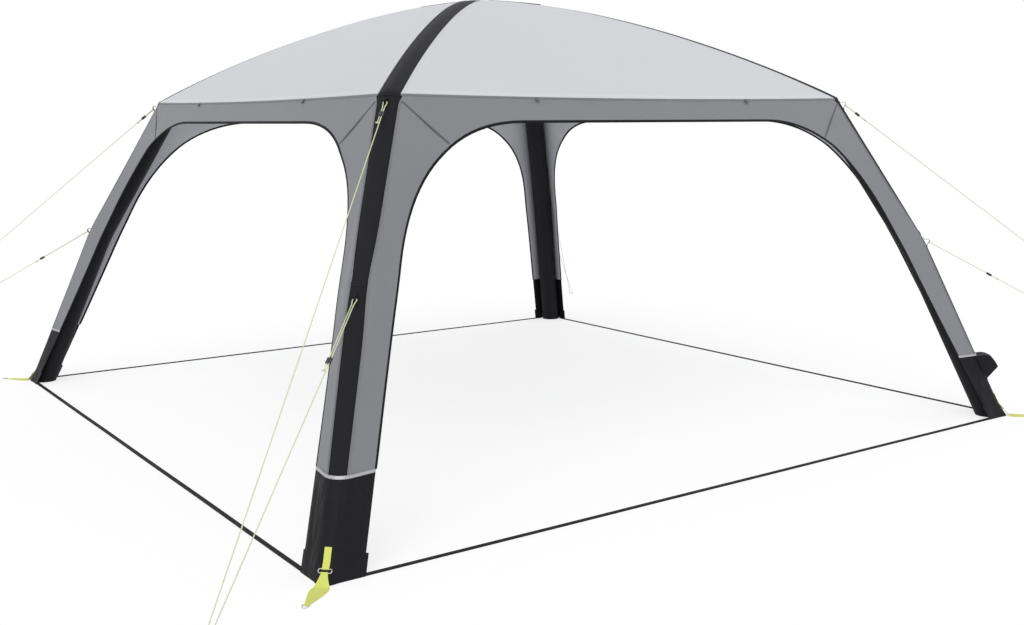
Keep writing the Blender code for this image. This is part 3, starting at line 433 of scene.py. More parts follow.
    def fold_surface(self, z):
        """Outermost point of a leg whose knee is a sharp fold, as its solid has."""
        s = self.s
        direction = self.low if z < s.knee_height else self.high
        half = s.knee_half + (z - s.knee_height) * direction[0] / direction[1]
        station = self.station((half, z), direction, direction, 0.0)
        centre, out, along = self.upright(station)
        return centre + out * s.beam_radius, out, along


class LegCut:
    """Level cut through a leg: the beam's oval and the walls that leave it."""

    def __init__(self, form, z):
        s = form.s
        direction = form.wall_direction(z)
        self.inset = form.inset
        self.z = z
        self.path = unit2(direction[0] * ROOT2, direction[1])
        self.centre = (form.wall_half(z) - self.inset / direction[1]) * ROOT2
        self.lean = math.asin(direction[1] / ROOT2)
        t, w, _ = self.place(self.lean, 0.0)
        self.tangent = (t - w) / ROOT2
        if z < s.knee_height:
            share = math.sin(z / s.knee_height * math.pi / 2.0)
        else:
            height = min(1.0, (z - s.knee_height) / (s.wrap_top - s.knee_height))
            share = math.cos(height * math.pi / 2.0)
        self.turn = s.wrap_knee * share

    def place(self, angle, straight, push=0.0):
        """Point (t, w, z) at an angle round the beam, then straight on."""
        rise = self.path[1]
        t = self.centre + (self.inset * math.cos(angle) - straight * math.sin(angle)) / rise
        w = self.inset * math.sin(angle) + straight * math.cos(angle)
        return (t + push * math.cos(angle) * rise, w + push * math.sin(angle),
                self.z - push * math.cos(angle) * self.path[0])

    def wing(self, reach, push=0.0):
        """Point of a wall, reach inward from where it leaves the beam."""
        across = reach / (ROOT2 * math.cos(self.lean))
        bend = min(across, self.inset * self.turn)
        return self.place(self.lean + bend / self.inset, across - bend, push)


def form_of(context):
    return Form(context.scene.shelter_sizes)


# Materials

class Value:
    """A number that varies over a surface; sums on it add Math nodes."""

    def __init__(self, socket):
        self.socket = socket
        self.tree = socket.id_data

    def math(self, operation, *items):
        node = self.tree.nodes.new("ShaderNodeMath")
        node.operation = operation
        for slot, item in zip(node.inputs, items):
            if isinstance(item, Value):
                self.tree.links.new(item.socket, slot)
            else:
                slot.default_value = item
        return Value(node.outputs[0])

    def __add__(self, other):
        return self.math("ADD", self, other)

    def __sub__(self, other):
        return self.math("SUBTRACT", self, other)

    def __mul__(self, other):
        return self.math("MULTIPLY", self, other)

    def sine(self):
        return self.math("SINE", self)

    def size(self):
        return self.math("ABSOLUTE", self)

    def part(self):
        return self.math("FRACT", self)

    def ramp(self, low, high):
        """0 below low, 1 above high, smooth between."""
        node = self.tree.nodes.new("ShaderNodeMapRange")
        node.interpolation_type = "SMOOTHSTEP"
        self.tree.links.new(self.socket, node.inputs[0])
        node.inputs[1].default_value = low
        node.inputs[2].default_value = high
        return Value(node.outputs[0])


class Finish:
    """A material under construction, with short ways to add its nodes."""

    def __init__(self, name, **steady):
        self.material = bpy.data.materials.new(name)
        self.material.use_nodes = True
        self.tree = self.material.node_tree
        self.shader = self.tree.nodes["Principled BSDF"]
        for key, item in steady.items():
            self.shader.inputs[key.replace("_", " ").title().replace("Ior", "IOR")
                               ].default_value = item

    def node(self, kind, settings=None, inputs=None, output=0):
        """Add a node: its settings first, then values or links of its sockets."""
        node = self.tree.nodes.new(kind)
        for key, item in (settings or {}).items():
            setattr(node, key, item)
        for key, item in (inputs or {}).items():
            if isinstance(item, Value):
                self.tree.links.new(item.socket, node.inputs[key])
            else:
                node.inputs[key].default_value = item
        return Value(node.outputs[output])

    def place(self):
        """Place in the shelter, in metres."""
        return self.node("ShaderNodeTexCoord", output="Object")

    def cloth_place(self):
        """Place on the cloth, in metres along and across it."""
        return self.node("ShaderNodeTexCoord", output="UV")

    def noise(self, place, scale, detail=3.0, roughness=0.55):
        return self.node("ShaderNodeTexNoise", inputs={
            "Vector": place, "Scale": scale, "Detail": detail, "Roughness": roughness})

    def across(self, place):
        split = self.tree.nodes.new("ShaderNodeSeparateXYZ")
        self.tree.links.new(place.socket, split.inputs[0])
        return [Value(split.outputs[i]) for i in range(3)]

    def stretched(self, place, scale):
        return self.node("ShaderNodeMapping", inputs={"Vector": place, "Scale": scale})

    def mix(self, factor, first, second):
        def tint(item):
            return item if isinstance(item, Value) else (*item, 1.0)
        return self.node("ShaderNodeMix", {"data_type": "RGBA"},
                         {0: factor, 6: tint(first), 7: tint(second)}, 2)

    def bump(self, height, strength, distance, under=None):
        inputs = {"Height": height, "Strength": strength, "Distance": distance}
        if under is not None:
            inputs["Normal"] = under
        return self.node("ShaderNodeBump", inputs=inputs)

    def wear(self, **sockets):
        """Lead what varies into the shader's sockets; gives the material."""
        for key, item in sockets.items():
            self.tree.links.new(item.socket, self.shader.inputs[key.replace("_", " ").title()])
        return self.material


def shade(tint, factor):
    """A colour made darker or lighter."""
    return tuple(min(1.0, c * factor) for c in tint)


WEAVE_TURN = 2.0 * math.pi


def woven(name, tint, thread, roughness, crease=0.35, spread=0.05, sheen=0.15, specular=0.3,
          box=0.0, fold=5.5):
    """Woven cloth: crossed threads, soft creases and slightly uneven dye."""
    finish = Finish(name, Sheen_Weight=sheen, Sheen_Roughness=0.45, Specular_IOR_Level=specular)
    cloth = finish.cloth_place()
    place = finish.place()
    u, v, _ = finish.across(cloth)
    warp = (u * (WEAVE_TURN / thread)).sine()
    weft = (v * (WEAVE_TURN / thread)).sine()
    weave = warp * weft * 0.5 + 0.5
    soft = finish.noise(place, 1.7, 4.0)
    fine = finish.noise(place, 34.0, 5.0)
    slub = finish.noise(finish.stretched(cloth, (60.0, 900.0, 1.0)), 1.0, 2.0)
    shift = (soft - 0.5) * 1.3 + (fine - 0.5) * 0.5 + (slub - 0.5) * 0.5 + 0.5
    deep = shade(tint, 1.0 - spread)
    light = shade(tint, 1.0 + spread)
    base = finish.mix(shift, deep, light)
    base = finish.mix(weave * 0.14, base, shade(tint, 0.82))
    folds = finish.noise(finish.stretched(place, (1.0, 1.0, 0.45)), fold, 3.0, 0.45)
    crinkle = finish.noise(place, 19.0, 3.0, 0.5)
    normal = finish.bump(folds * 0.75 + crinkle * 0.25, crease, 0.02)
    if box:
        lines_u = ((u * (1.0 / box)).part() - 0.5).size().ramp(0.47, 0.5)
        lines_v = ((v * (1.0 / box)).part() - 0.5).size().ramp(0.47, 0.5)
        normal = finish.bump((lines_u + lines_v) * -1.0, 0.25, 0.0005, normal)
    normal = finish.bump(weave, 0.25, 0.0004, normal)
    rough = (fine - 0.5) * 0.12 + (soft - 0.5) * 0.10 + roughness
    return finish.wear(Base_Color=base, Roughness=rough, Normal=normal)


def webbing(name, tint, roughness=0.62, rib=0.0028, spread=0.1, sheen=0.2, specular=0.35):
    """Flat woven webbing: ribs across it and darker grime in places."""
    finish = Finish(name, Sheen_Weight=sheen, Sheen_Roughness=0.4, Specular_IOR_Level=specular)
    u, v, _ = finish.across(finish.cloth_place())
    rib_wave = ((u * (WEAVE_TURN / rib)) + (v * (WEAVE_TURN / rib * 2.0)).sine() * 0.9).sine()
    ribs = rib_wave * 0.5 + 0.5
    grime = finish.noise(finish.place(), 28.0, 4.0)
    base = finish.mix(ribs, shade(tint, 0.74), shade(tint, 1.08))
    base = finish.mix((grime - 0.45).ramp(0.0, 0.4) * spread * 3.0, base, shade(tint, 0.66))
    normal = finish.bump(ribs, 0.5, 0.0006)
    return finish.wear(Base_Color=base, Roughness=(grime - 0.5) * 0.2 + roughness, Normal=normal)


def braid(name, tint):
    """Braided cord: strands that cross round the line, with a tracer fleck."""
    finish = Finish(name, Sheen_Weight=0.15, Specular_IOR_Level=0.35)
    u, v, _ = finish.across(finish.cloth_place())
    left = (u * (WEAVE_TURN / 0.006) + v * (WEAVE_TURN * 4.0)).sine()
    right = (u * (WEAVE_TURN / 0.006) - v * (WEAVE_TURN * 4.0)).sine()
    strands = left * right * 0.5 + 0.5
    tracer = ((u * (1.0 / 0.024)).part() - 0.5).size().ramp(0.44, 0.48)
    base = finish.mix(strands, shade(tint, 0.72), shade(tint, 1.12))
    base = finish.mix(tracer * 0.35, base, shade(tint, 0.55))
    soft = finish.noise(finish.place(), 60.0, 3.0)
    return finish.wear(Base_Color=base, Roughness=(soft - 0.5) * 0.2 + 0.6,
                       Normal=finish.bump(strands, 0.6, 0.0006))


def moulded(name, tint, roughness=0.42):
    """Moulded plastic: fine spark texture, rubbed a little lighter in places."""
    finish = Finish(name, Specular_IOR_Level=0.45)
    place = finish.place()
    grain = finish.noise(place, 900.0, 2.0)
    rubbed = finish.noise(place, 45.0, 4.0).ramp(0.5, 0.8)
    base = finish.mix(rubbed * 0.5, tint, shade(tint, 2.1))
    rough = (grain - 0.5) * 0.18 + roughness - rubbed * 0.08
    return finish.wear(Base_Color=base, Roughness=rough, Normal=finish.bump(grain, 0.2, 0.0002))


def plated(name, tint):
    """Plated steel wire: drawn lines and a few dull spots."""
    finish = Finish(name, Metallic=1.0)
    place = finish.place()
    drawn = finish.noise(finish.stretched(place, (40.0, 40.0, 900.0)), 1.0, 3.0)
    spots = finish.noise(place, 160.0, 4.0).ramp(0.52, 0.72)
    base = finish.mix(spots, tint, shade(tint, 0.62))
    rough = spots * 0.22 + (drawn - 0.5) * 0.15 + 0.26
    return finish.wear(Base_Color=base, Roughness=rough, Normal=finish.bump(drawn, 0.1, 0.0002))


def reflective(name, tint):
    """Silver reflective tape: glass beads in a fine diamond net."""
    finish = Finish(name, Metallic=0.35, Specular_IOR_Level=0.6)
    u, v, _ = finish.across(finish.cloth_place())
    net = ((u + v) * (WEAVE_TURN / 0.004)).sine() * ((u - v) * (WEAVE_TURN / 0.004)).sine()
    beads = finish.noise(finish.place(), 1400.0, 1.0)
    base = finish.mix(net.size().ramp(0.0, 0.35), shade(tint, 0.82), shade(tint, 1.08))
    return finish.wear(Base_Color=base, Roughness=(beads - 0.5) * 0.2 + 0.36,
                       Normal=finish.bump(beads, 0.15, 0.0002))


def film(name, tint):
    """Air tube of clear film over a mesh of threads."""
    finish = Finish(name, Specular_IOR_Level=0.6, Coat_Weight=0.4, Coat_Roughness=0.12)
    place = finish.place()
    cloudy = finish.noise(place, 22.0, 4.0)
    base = finish.mix(cloudy, shade(tint, 0.85), shade(tint, 1.08))
    return finish.wear(Base_Color=base, Roughness=(cloudy - 0.5) * 0.2 + 0.3,
                       Normal=finish.bump(cloudy, 0.15, 0.002))


FINISHES = {}
# Light comes through the walls, so their inner side looks nearly as light as the outer; that inner
# side is painted 2.3 times lighter, as painted light that stands in for it.
INNER_SIDE_PAINTED_LIGHT = 2.3


def make_finishes(colours):
    """Mix every material of the shelter into FINISHES, by its name."""

    def mix(kind, name, *looks, **more):
        FINISHES[name] = kind(name, *looks, **more)

    mix(woven, "roof_cloth", colours.roof, 0.0026, 0.58, crease=0.10, spread=0.018, sheen=0.05,
        box=0.012)
    mix(woven, "wall_cloth", colours.wall, 0.0026, 0.62, crease=0.16, spread=0.03, box=0.012)
    # Inner side of the walls: the wall colour painted lighter, painted light for the light that
    # comes through the cloth.
    mix(woven, "wall_lining", shade(colours.wall, INNER_SIDE_PAINTED_LIGHT), 0.0026, 0.62, crease=0.16,
        spread=0.03)
    mix(woven, "wall_seam", shade(colours.wall, 0.92), 0.0018, 0.66, crease=0.1)
    mix(woven, "patch_seam", shade(colours.wall, 0.50), 0.0018, 0.66, crease=0.1)
    mix(webbing, "wall_loop", shade(colours.wall, 0.62), 0.7, 0.0022)
    mix(woven, "roof_seam", shade(colours.roof, 1.05), 0.0018, 0.6, crease=0.08)
    mix(woven, "black_cloth", colours.black, 0.0034, 0.70, crease=0.30, spread=0.16, sheen=0.03,
        specular=0.18)
    mix(woven, "gaiter_cloth", shade(colours.black, 0.80), 0.0040, 0.60, crease=0.8, spread=0.22,
        sheen=0.02, specular=0.16, fold=20.0)
    mix(webbing, "binding", colours.tape, 0.7, 0.0022, sheen=0.03, specular=0.15)
    mix(webbing, "black_webbing", colours.tape, 0.7, sheen=0.03, specular=0.15)
    mix(webbing, "yellow_webbing", colours.webbing)
    mix(braid, "yellow_cord", colours.cord)
    mix(reflective, "reflective", colours.silver)
    mix(plated, "steel", colours.steel)
    mix(moulded, "black_plastic", colours.plastic)
    mix(film, "bladder", colours.bladder)


# Making and finishing pieces

def add_mesh(name, points, faces, uvs=None):
    """Object from points and faces; uvs gives a point's place on its cloth."""
    mesh = bpy.data.meshes.new(name)
    mesh.from_pydata([tuple(p) for p in points], [], faces)
    if uvs is not None:
        layer = mesh.uv_layers.new(name="cloth")
        for loop in mesh.loops:
            layer.data[loop.index].uv = uvs[loop.vertex_index]
    piece = bpy.data.objects.new(name, mesh)
    bpy.context.scene.collection.objects.link(piece)
    return piece


def grid(name, rows, closed=False):
    """Skin rows of points. The cloth place is the distance along and across."""
    count = len(rows[0])
    points = [p for row in rows for p in row]
    faces = []
    for r in range(len(rows) - 1):
        for i in range(count if closed else count - 1):
            j = (i + 1) % count
            faces.append((r * count + i, r * count + j, (r + 1) * count + j, (r + 1) * count + i))
    uvs = []
    middle = count // 2
    along = 0.0
    for r, row in enumerate(rows):
        if r:
            along += (Vector(row[middle]) - Vector(rows[r - 1][middle])).length
        across = 0.0
        for i, point in enumerate(row):
            if i:
                across += (Vector(point) - Vector(row[i - 1])).length
            uvs.append((along, across))
    return add_mesh(name, points, faces, uvs)


def only(piece):
    """Make a piece the one selected and active object."""
    bpy.ops.object.select_all(action="DESELECT")
    piece.select_set(True)
    bpy.context.view_layer.objects.active = piece


def unselect(piece, kind):
    """Leave nothing of a piece's mesh selected; its verts, edges or faces come next."""
    only(piece)
    bpy.ops.object.mode_set(mode="EDIT")
    bpy.ops.mesh.select_mode(type=kind)
    bpy.ops.mesh.select_all(action="DESELECT")
    bpy.ops.object.mode_set(mode="OBJECT")


MERGE = 0.00001


def close_shell(piece, merge=0.0):
    """Point a shell's faces outwards, once its points closer than merge are one."""
    only(piece)
    bpy.ops.object.mode_set(mode="EDIT")
    bpy.ops.mesh.select_all(action="SELECT")
    if merge:
        bpy.ops.mesh.remove_doubles(threshold=merge)
    bpy.ops.mesh.normals_make_consistent(inside=False)
    bpy.ops.object.mode_set(mode="OBJECT")


def face_out(piece, outward):
    """Turn a sheet's faces to look along outward."""
    total = sum((p.normal * p.area for p in piece.data.polygons), Vector())
    if total.dot(Vector(outward)) < 0.0:
        piece.data.flip_normals()


def thicken(piece, thickness, offset=-1.0, even=True):
    """Give a sheet its thickness, inwards unless offset says otherwise."""
    wall = piece.modifiers.new("thickness", "SOLIDIFY")
    wall.thickness = thickness
    wall.offset = offset
    wall.use_even_offset = even
    only(piece)
    bpy.ops.object.modifier_apply(modifier=wall.name)


def settle(piece, finish, turn=0.0, angle=40.0):
    """Give a piece its material and smooth shading, and bake its turn."""
    piece.data.materials.clear()
    piece.data.materials.append(FINISHES[finish])
    piece.rotation_euler.z = math.radians(turn)
    only(piece)
    bpy.ops.object.transform_apply(location=True, rotation=True, scale=True)
    bpy.ops.object.shade_smooth_by_angle(angle=math.radians(angle))
    return piece


def hand_over(piece, slot, body=ROOT, nodes=()):
    """Ride a finished piece on its body, if it has one, in place of its CAD nodes."""
    if body:
        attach(piece, body)
    if nodes:
        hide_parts(*nodes)
    return piece


def twin(piece, name, turn):
    """Copy of a piece with its own mesh and none of its declarations, turned about Z."""
    copy = piece.copy()
    copy.data = piece.data.copy()
    copy.name = name
    copy.data.name = name
    for key in [key for key in copy.keys() if key.startswith("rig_")]:
        del copy[key]
    bpy.context.scene.collection.objects.link(copy)
    copy.rotation_euler.z = math.radians(turn)
    only(copy)
    bpy.ops.object.transform_apply(location=False, rotation=True, scale=False)
    return copy


def dress(source, name, finish, turn, angle=50.0, body=ROOT, nodes=()):
    """Copy a piece, settle it and hand it over."""
    piece = settle(twin(source, name, 0.0), finish, turn, angle)
    return hand_over(piece, finish, body, nodes)


def each_side(source, stem):
    """The front piece, then its twins on the other sides, named after their side."""
    for side, turn in SIDES.items():
        yield side, source if side == "front" else twin(source, stem + side, turn)


def mirrored(rows):
    """Rows of a right half with its left half put before it."""
    full = []
    for row in rows:
        left = [Vector((-p.x, p.y, p.z)) for p in reversed(row[1:])]
        full.append(left + [Vector(p) for p in row])
    return full


# Canopy

class SHELTER_OT_roof(bpy.types.Operator):
    """Stretch the four pale roof cloths between the beams"""
    bl_idname = "shelter.roof"
    bl_label = "Roof"
    ROWS = 44
    COLUMNS = 40
    CROWN_GAP = 0.003
    CLOTH_DEPTH = 1.42
    SOFT_FOLD = 0.0022
    FINE_FOLD = 0.0011

    def execute(self, context):
        form = form_of(context)
        edge = form.roof_gap()
        last = form.roof_share(edge + self.CROWN_GAP)
        rows = []
        for r in range(self.ROWS + 1):
            u = last * (r / self.ROWS) ** 0.9
            half = form.roof_point(u)[0]
            width = half - edge
            row = []
            for i in range(self.COLUMNS + 1):
                share = i / self.COLUMNS
                x = width * math.sin(share * math.pi / 2.0)
                calm = math.cos(share * math.pi / 2.0) * min(1.0, u * 14.0)
                fold = ripple((x * 0.7, half, 0.0), 3.1, 4.0) * self.SOFT_FOLD
                fold += ripple((x * 3.0, half * 0.8, 0.0), 4.3, 9.0) * self.FINE_FOLD
                row.append(form.roof_place(x, u, fold * calm))
            rows.append(row)
        source = grid("roof_cloth_front", mirrored(rows))
        face_out(source, (0.0, -0.5, 1.0))
        thicken(source, form.s.cloth)
        settle(source, "roof_cloth")
        for side, piece in each_side(source, "roof_cloth_"):
            hand_over(piece, "roof_cloth", nodes=["roof_panel_" + side])
        return {"FINISHED"}


class SHELTER_OT_walls(bpy.types.Operator):
    """Hang the four grey side walls, each with its arched doorway"""
    bl_idname = "shelter.walls"
    bl_label = "Side walls"
    BEND_STEPS = 4
    EVEN_STEPS = 10
    SOFT_FOLD = 0.0032
    FINE_FOLD = 0.0014
    DRAW_IN = 0.001
    INWARD = 0.3
    MEAN_WIDTH = 1.25

    def execute(self, context):
        form = form_of(context)
        inner = form.doorway()
        outer = form.wall_outline()
        rows = []
        columns = [self.shares(form, a, b) for a, b in zip(inner, outer)]
        for k in range(len(columns[0])):
            row = []
            for (xi, zi), (xo, zo), shares in zip(inner, outer, columns):
                share = shares[k]
                x = xi + (xo - xi) * share
                z = zi + (zo - zi) * share
                calm = abs(math.sin(share * math.pi)) ** 0.8
                fold = ripple((x * 5.0, z * 0.9, 1.0), 1.9, 2.0) * self.SOFT_FOLD
                fold += ripple((x * 3.0, z * 2.0, 5.0), 4.7, 6.0) * self.FINE_FOLD
                row.append(form.wall_place(x, z, (fold - self.DRAW_IN) * calm))
            rows.append([Vector(p) for p in reversed(row)])
        source = grid("side_cloth_front", mirrored(rows))
        face_out(source, (0.0, -1.0, 0.3))
        reach = sum((Vector((*b, 0.0)) - Vector((*a, 0.0))).length
                    for a, b in zip(inner, inner[1:])) * 2.0
        thicken(source, form.s.cloth)
        settle(source, "wall_cloth")
        # Faces that look inwards get the inner material, whose colour is painted light coming
        # through the cloth.
        source.data.materials.append(FINISHES["wall_lining"])
        for face in source.data.polygons:
            face.material_index = int(face.normal.y > self.INWARD)
        for side, piece in each_side(source, "side_cloth_"):
            hand_over(piece, "wall_cloth", nodes=["side_panel_" + side])
        return {"FINISHED"}

    def shares(self, form, inner, outer):
        """Places across the cloth, close together where it wraps round the leg."""
        width = math.hypot(outer[0] - inner[0], outer[1] - inner[1])
        cut = LegCut(form, outer[1])
        start = max(form.s.cloth * 2.0, form.wall_edge(outer[1]) - cut.tangent)
        bend = form.inset * form.s.wrap_knee * ROOT2 * math.cos(cut.lean)
        offs = [0.0, start / 2.0]
        offs += [start + bend * i / self.BEND_STEPS for i in range(self.BEND_STEPS + 1)]
        rest = width - offs[-1]
        offs += [offs[-1] + rest * i / self.EVEN_STEPS for i in range(1, self.EVEN_STEPS + 1)]
        return [1.0 - off / width for off in reversed(offs)]


def tube(name, rings):
    """Closed tube through rings of equal count."""
    piece = grid(name, rings, closed=True)
    unselect(piece, "EDGE")
    bpy.ops.object.mode_set(mode="EDIT")
    bpy.ops.mesh.select_non_manifold(extend=False)
    bpy.ops.mesh.edge_face_add()
    bpy.ops.object.mode_set(mode="OBJECT")
    close_shell(piece)
    return piece


class SHELTER_OT_tapes(bpy.types.Operator):
    """Fold black tape over the edge of each doorway"""
    bl_idname = "shelter.tapes"
    bl_label = "Edge tapes"
    WIDTH = 0.011
    THICK = 0.0042
    LAP = 0.0004
    OUTLINE = ((0.0, 1.0), (0.35, 1.12), (0.7, 1.0), (0.93, 0.55), (1.0, 0.0),
               (0.93, -0.55), (0.7, -1.0), (0.35, -1.12), (0.0, -1.0))

    def execute(self, context):
        form = form_of(context)
        curve = form.doorway()
        last = len(curve) - 1
        half = self.THICK / 2.0
        outline = [(self.LAP + self.WIDTH * share, push * half - form.s.cloth / 2.0)
                   for share, push in self.OUTLINE]
        rings = []
        for i, (x, z) in enumerate(curve):
            before = curve[max(0, i - 1)]
            after = curve[min(last, i + 1)]
            along = unit2(after[0] - before[0], after[1] - before[1])
            inward = (-abs(along[1]), -abs(along[0]))
            if i == last:
                inward = (0.0, -1.0)
            if i == 0:
                inward = (-1.0, 0.0)
            rings.append([form.wall_place(x + inward[0] * reach, z + inward[1] * reach, lift)
                          for reach, lift in outline])
        full = [[Vector((-p.x, p.y, p.z)) for p in ring] for ring in rings[:-1]]
        full += rings[::-1]
        source = tube("edge_tape_front", full)
        settle(source, "binding", angle=60.0)
        for side, piece in each_side(source, "edge_tape_"):
            hand_over(piece, "binding", nodes=["edge_binding_" + side])
        return {"FINISHED"}


WELT_PROFILE = ((-0.5, -0.3), (-0.5, 0.75), (-0.36, 1.0), (-0.25, 0.62), (-0.14, 1.0),
                (0.14, 1.0), (0.25, 0.62), (0.36, 1.0), (0.5, 0.75), (0.5, -0.3))


def welt(name, path, outward, width, height, finish):
    """Raised seam along a path of points, with a hollow stitch line each side."""
    rings = []
    for i, point in enumerate(path):
        before = path[max(0, i - 1)]
        after = path[min(len(path) - 1, i + 1)]
        along = (after - before).normalized()
        side = along.cross(outward[i]).normalized()
        up = side.cross(along)
        rings.append([point + side * (w * width) + up * (h * height)
                      for w, h in WELT_PROFILE])
    return settle(tube(name, rings), finish, angle=50.0)


class SHELTER_OT_seams(bpy.types.Operator):
    """Sew the eaves, the strips' edges, the corner patches, the cuffs and the eave loops"""
    bl_idname = "shelter.seams"
    bl_label = "Seams"
    EAVE_WIDTH = 0.007
    HEM_WIDTH = 0.026
    HEM_PLACE = 0.0115
    EDGE_WIDTH = 0.007
    PATCH_WIDTH = 0.0085
    PATCH_START = 1.668
    PATCH_END = 1.488
    HEIGHT = 0.0014
    LIFT = 0.0002
    EAVE_DEPTH = 0.006
    CORNER_GAP = 0.002
    HEM_GAP = 0.011
    LEVEL_STEPS = 48
    EDGE_STEPS = 40
    WALL_START = 0.004
    WALL_END = 0.03
    WALL_GAP = 0.006
    ROOF_START = 0.012
    ROOF_END = 0.02
    ROOF_GAP = 0.007
    PATCH_GAP = 0.012
    PATCH_LAP = 0.004
    PATCH_STEPS = 10
    CUFFS = {"knee": (0.972, 0.990), "eave": (1.6835, 1.6985)}
    CUFF_PROFILE = ((0.0, 0.0002), (0.06, 0.0013), (0.2, 0.0016), (0.35, 0.0012),
                    (0.65, 0.0012), (0.8, 0.0016), (0.94, 0.0013), (1.0, 0.0002))
    CUFF_GAP = 0.004
    CUFF_THICK = 0.001
    LOOP_PLACE = 0.645
    LOOP_HALF = 0.008
    LOOP_THICK = 0.0011
    LOOP_SHAPE = (0.7, 0.8)
    LOOP_PATH = ((0.0022, 0.004), (0.0026, -0.004), (0.0040, -0.012), (0.0062, -0.019),
                 (0.0086, -0.0225), (0.0106, -0.021), (0.0108, -0.016), (0.0088, -0.009),
                 (0.0056, -0.002), (0.0044, 0.004))

    def execute(self, context):
        form = form_of(context)
        top = form.s.eave_height - self.EAVE_DEPTH
        corner = form.wall_edge(top) - self.CORNER_GAP
        reach = form.roof_point(self.HEM_PLACE)[0] - form.roof_gap() - self.HEM_GAP
        wall, roof = form.wall_place, form.roof_place
        self.lay(wall, self.level(corner, top), self.EAVE_WIDTH, "eave_seam", "wall_seam")
        self.lay(roof, self.level(reach, self.HEM_PLACE), self.HEM_WIDTH, "roof_hem", "roof_seam")
        for sign, tag in ((1.0, "_right"), (-1.0, "_left")):
            for place, points, width, name in (
                    (wall, self.wall_side(form, sign), self.EDGE_WIDTH, "wall_seam"),
                    (roof, self.roof_side(form, sign), self.EDGE_WIDTH, "roof_seam"),
                    (wall, self.patch_edge(form, sign), self.PATCH_WIDTH, "patch_seam")):
                self.lay(place, points, width, name + tag, name)
            self.eave_loop(form, sign * self.LOOP_PLACE, top, tag)
        for name, heights in self.CUFFS.items():
            self.cuff(form, name, *heights)
        return {"FINISHED"}

    def level(self, reach, height):
        """Points from side to side at one height or share of the roof."""
        steps = self.LEVEL_STEPS
        return [(reach * (2.0 * i / steps - 1.0), height) for i in range(steps + 1)]

    def wall_side(self, form, sign):
        """Points up a wall beside the black strip."""
        low = form.s.gaiter_top + self.WALL_START
        points = []
        for i in range(self.EDGE_STEPS + 1):
            z = low + (form.s.eave_height - self.WALL_END - low) * i / self.EDGE_STEPS
            points.append((sign * (form.wall_edge(z) - self.WALL_GAP), z))
        return points

    def roof_side(self, form, sign):
        """Points up a roof cloth beside the black strip."""
        edge = form.roof_gap() + self.ROOF_GAP
        last = form.roof_share(edge + self.ROOF_END)
        points = []
        for i in range(self.EDGE_STEPS + 1):
            u = self.ROOF_START + (last - self.ROOF_START) * i / self.EDGE_STEPS
            points.append((sign * (form.roof_point(u)[0] - edge), u))
        return points

    def patch_edge(self, form, sign):
        """Points down the slanting edge of a wall's corner patch, to the doorway's arch."""
        arch = min((p for p in form.doorway() if p[1] >= form.s.shoulder_height),
                   key=lambda p: abs(p[1] - self.PATCH_END))
        x, z = form.wall_edge(self.PATCH_START) - self.PATCH_GAP, self.PATCH_START
        return [(sign * (x + (arch[0] + self.PATCH_LAP - x) * i / self.PATCH_STEPS),
                 z + (arch[1] + self.PATCH_LAP - z) * i / self.PATCH_STEPS)
                for i in range(self.PATCH_STEPS + 1)]

    def eave_loop(self, form, x, top, tag):
        """Small loop of webbing that hangs from the eave."""
        deep, tall = self.LOOP_SHAPE
        rows = []
        for push, drop in self.LOOP_PATH:
            rows.append([form.wall_place(x + self.LOOP_HALF * (k / 3.0 - 1.0),
                                         top + drop * tall, push * deep) for k in range(7)])
        source = grid("eave_loop%s_front" % tag, rows)
        thicken(source, self.LOOP_THICK, offset=0.0)
        settle(source, "wall_loop", angle=50.0)
        for _, piece in each_side(source, "eave_loop%s_" % tag):
            hand_over(piece, "wall_cloth")

    def cuff(self, form, name, low, high):
        """Band of black cloth sewn across each leg's strip."""
        rows = []
        for share, lift in self.CUFF_PROFILE:
            z = low + (high - low) * share
            centre, out, _ = form.leg_axis(z)
            reach = math.asin((form.strip_half(z) - self.CUFF_GAP) / form.s.beam_radius)
            row = []
            for k in range(17):
                angle = reach * (k / 8.0 - 1.0)
                side = out * math.cos(angle) + Vector((0.0, math.sin(angle), 0.0))
                row.append(centre + side * (form.s.beam_radius + lift))
            rows.append(row)
        source = grid("%s_cuff" % name, rows)
        face_out(source, (1.0, 0.0, 0.3))
        thicken(source, self.CUFF_THICK)
        for leg, turn in LEGS.items():
            dress(source, "%s_cuff_%s" % (name, leg), "black_cloth", turn)
        bpy.data.objects.remove(source)

    def lay(self, place, points, width, name, finish):
        """Sew a seam along points of the front wall or roof, and on the other sides."""
        path = [place(a, b, self.LIFT) for a, b in points]
        outward = [(place(a, b, 0.01) - place(a, b, 0.0)).normalized() for a, b in points]
        source = welt(name + "_front", path, outward, width, self.HEIGHT, finish)
        slot = "roof_cloth" if finish == "roof_seam" else "wall_cloth"
        for _, piece in each_side(source, name + "_"):
            hand_over(piece, slot)


# Beams

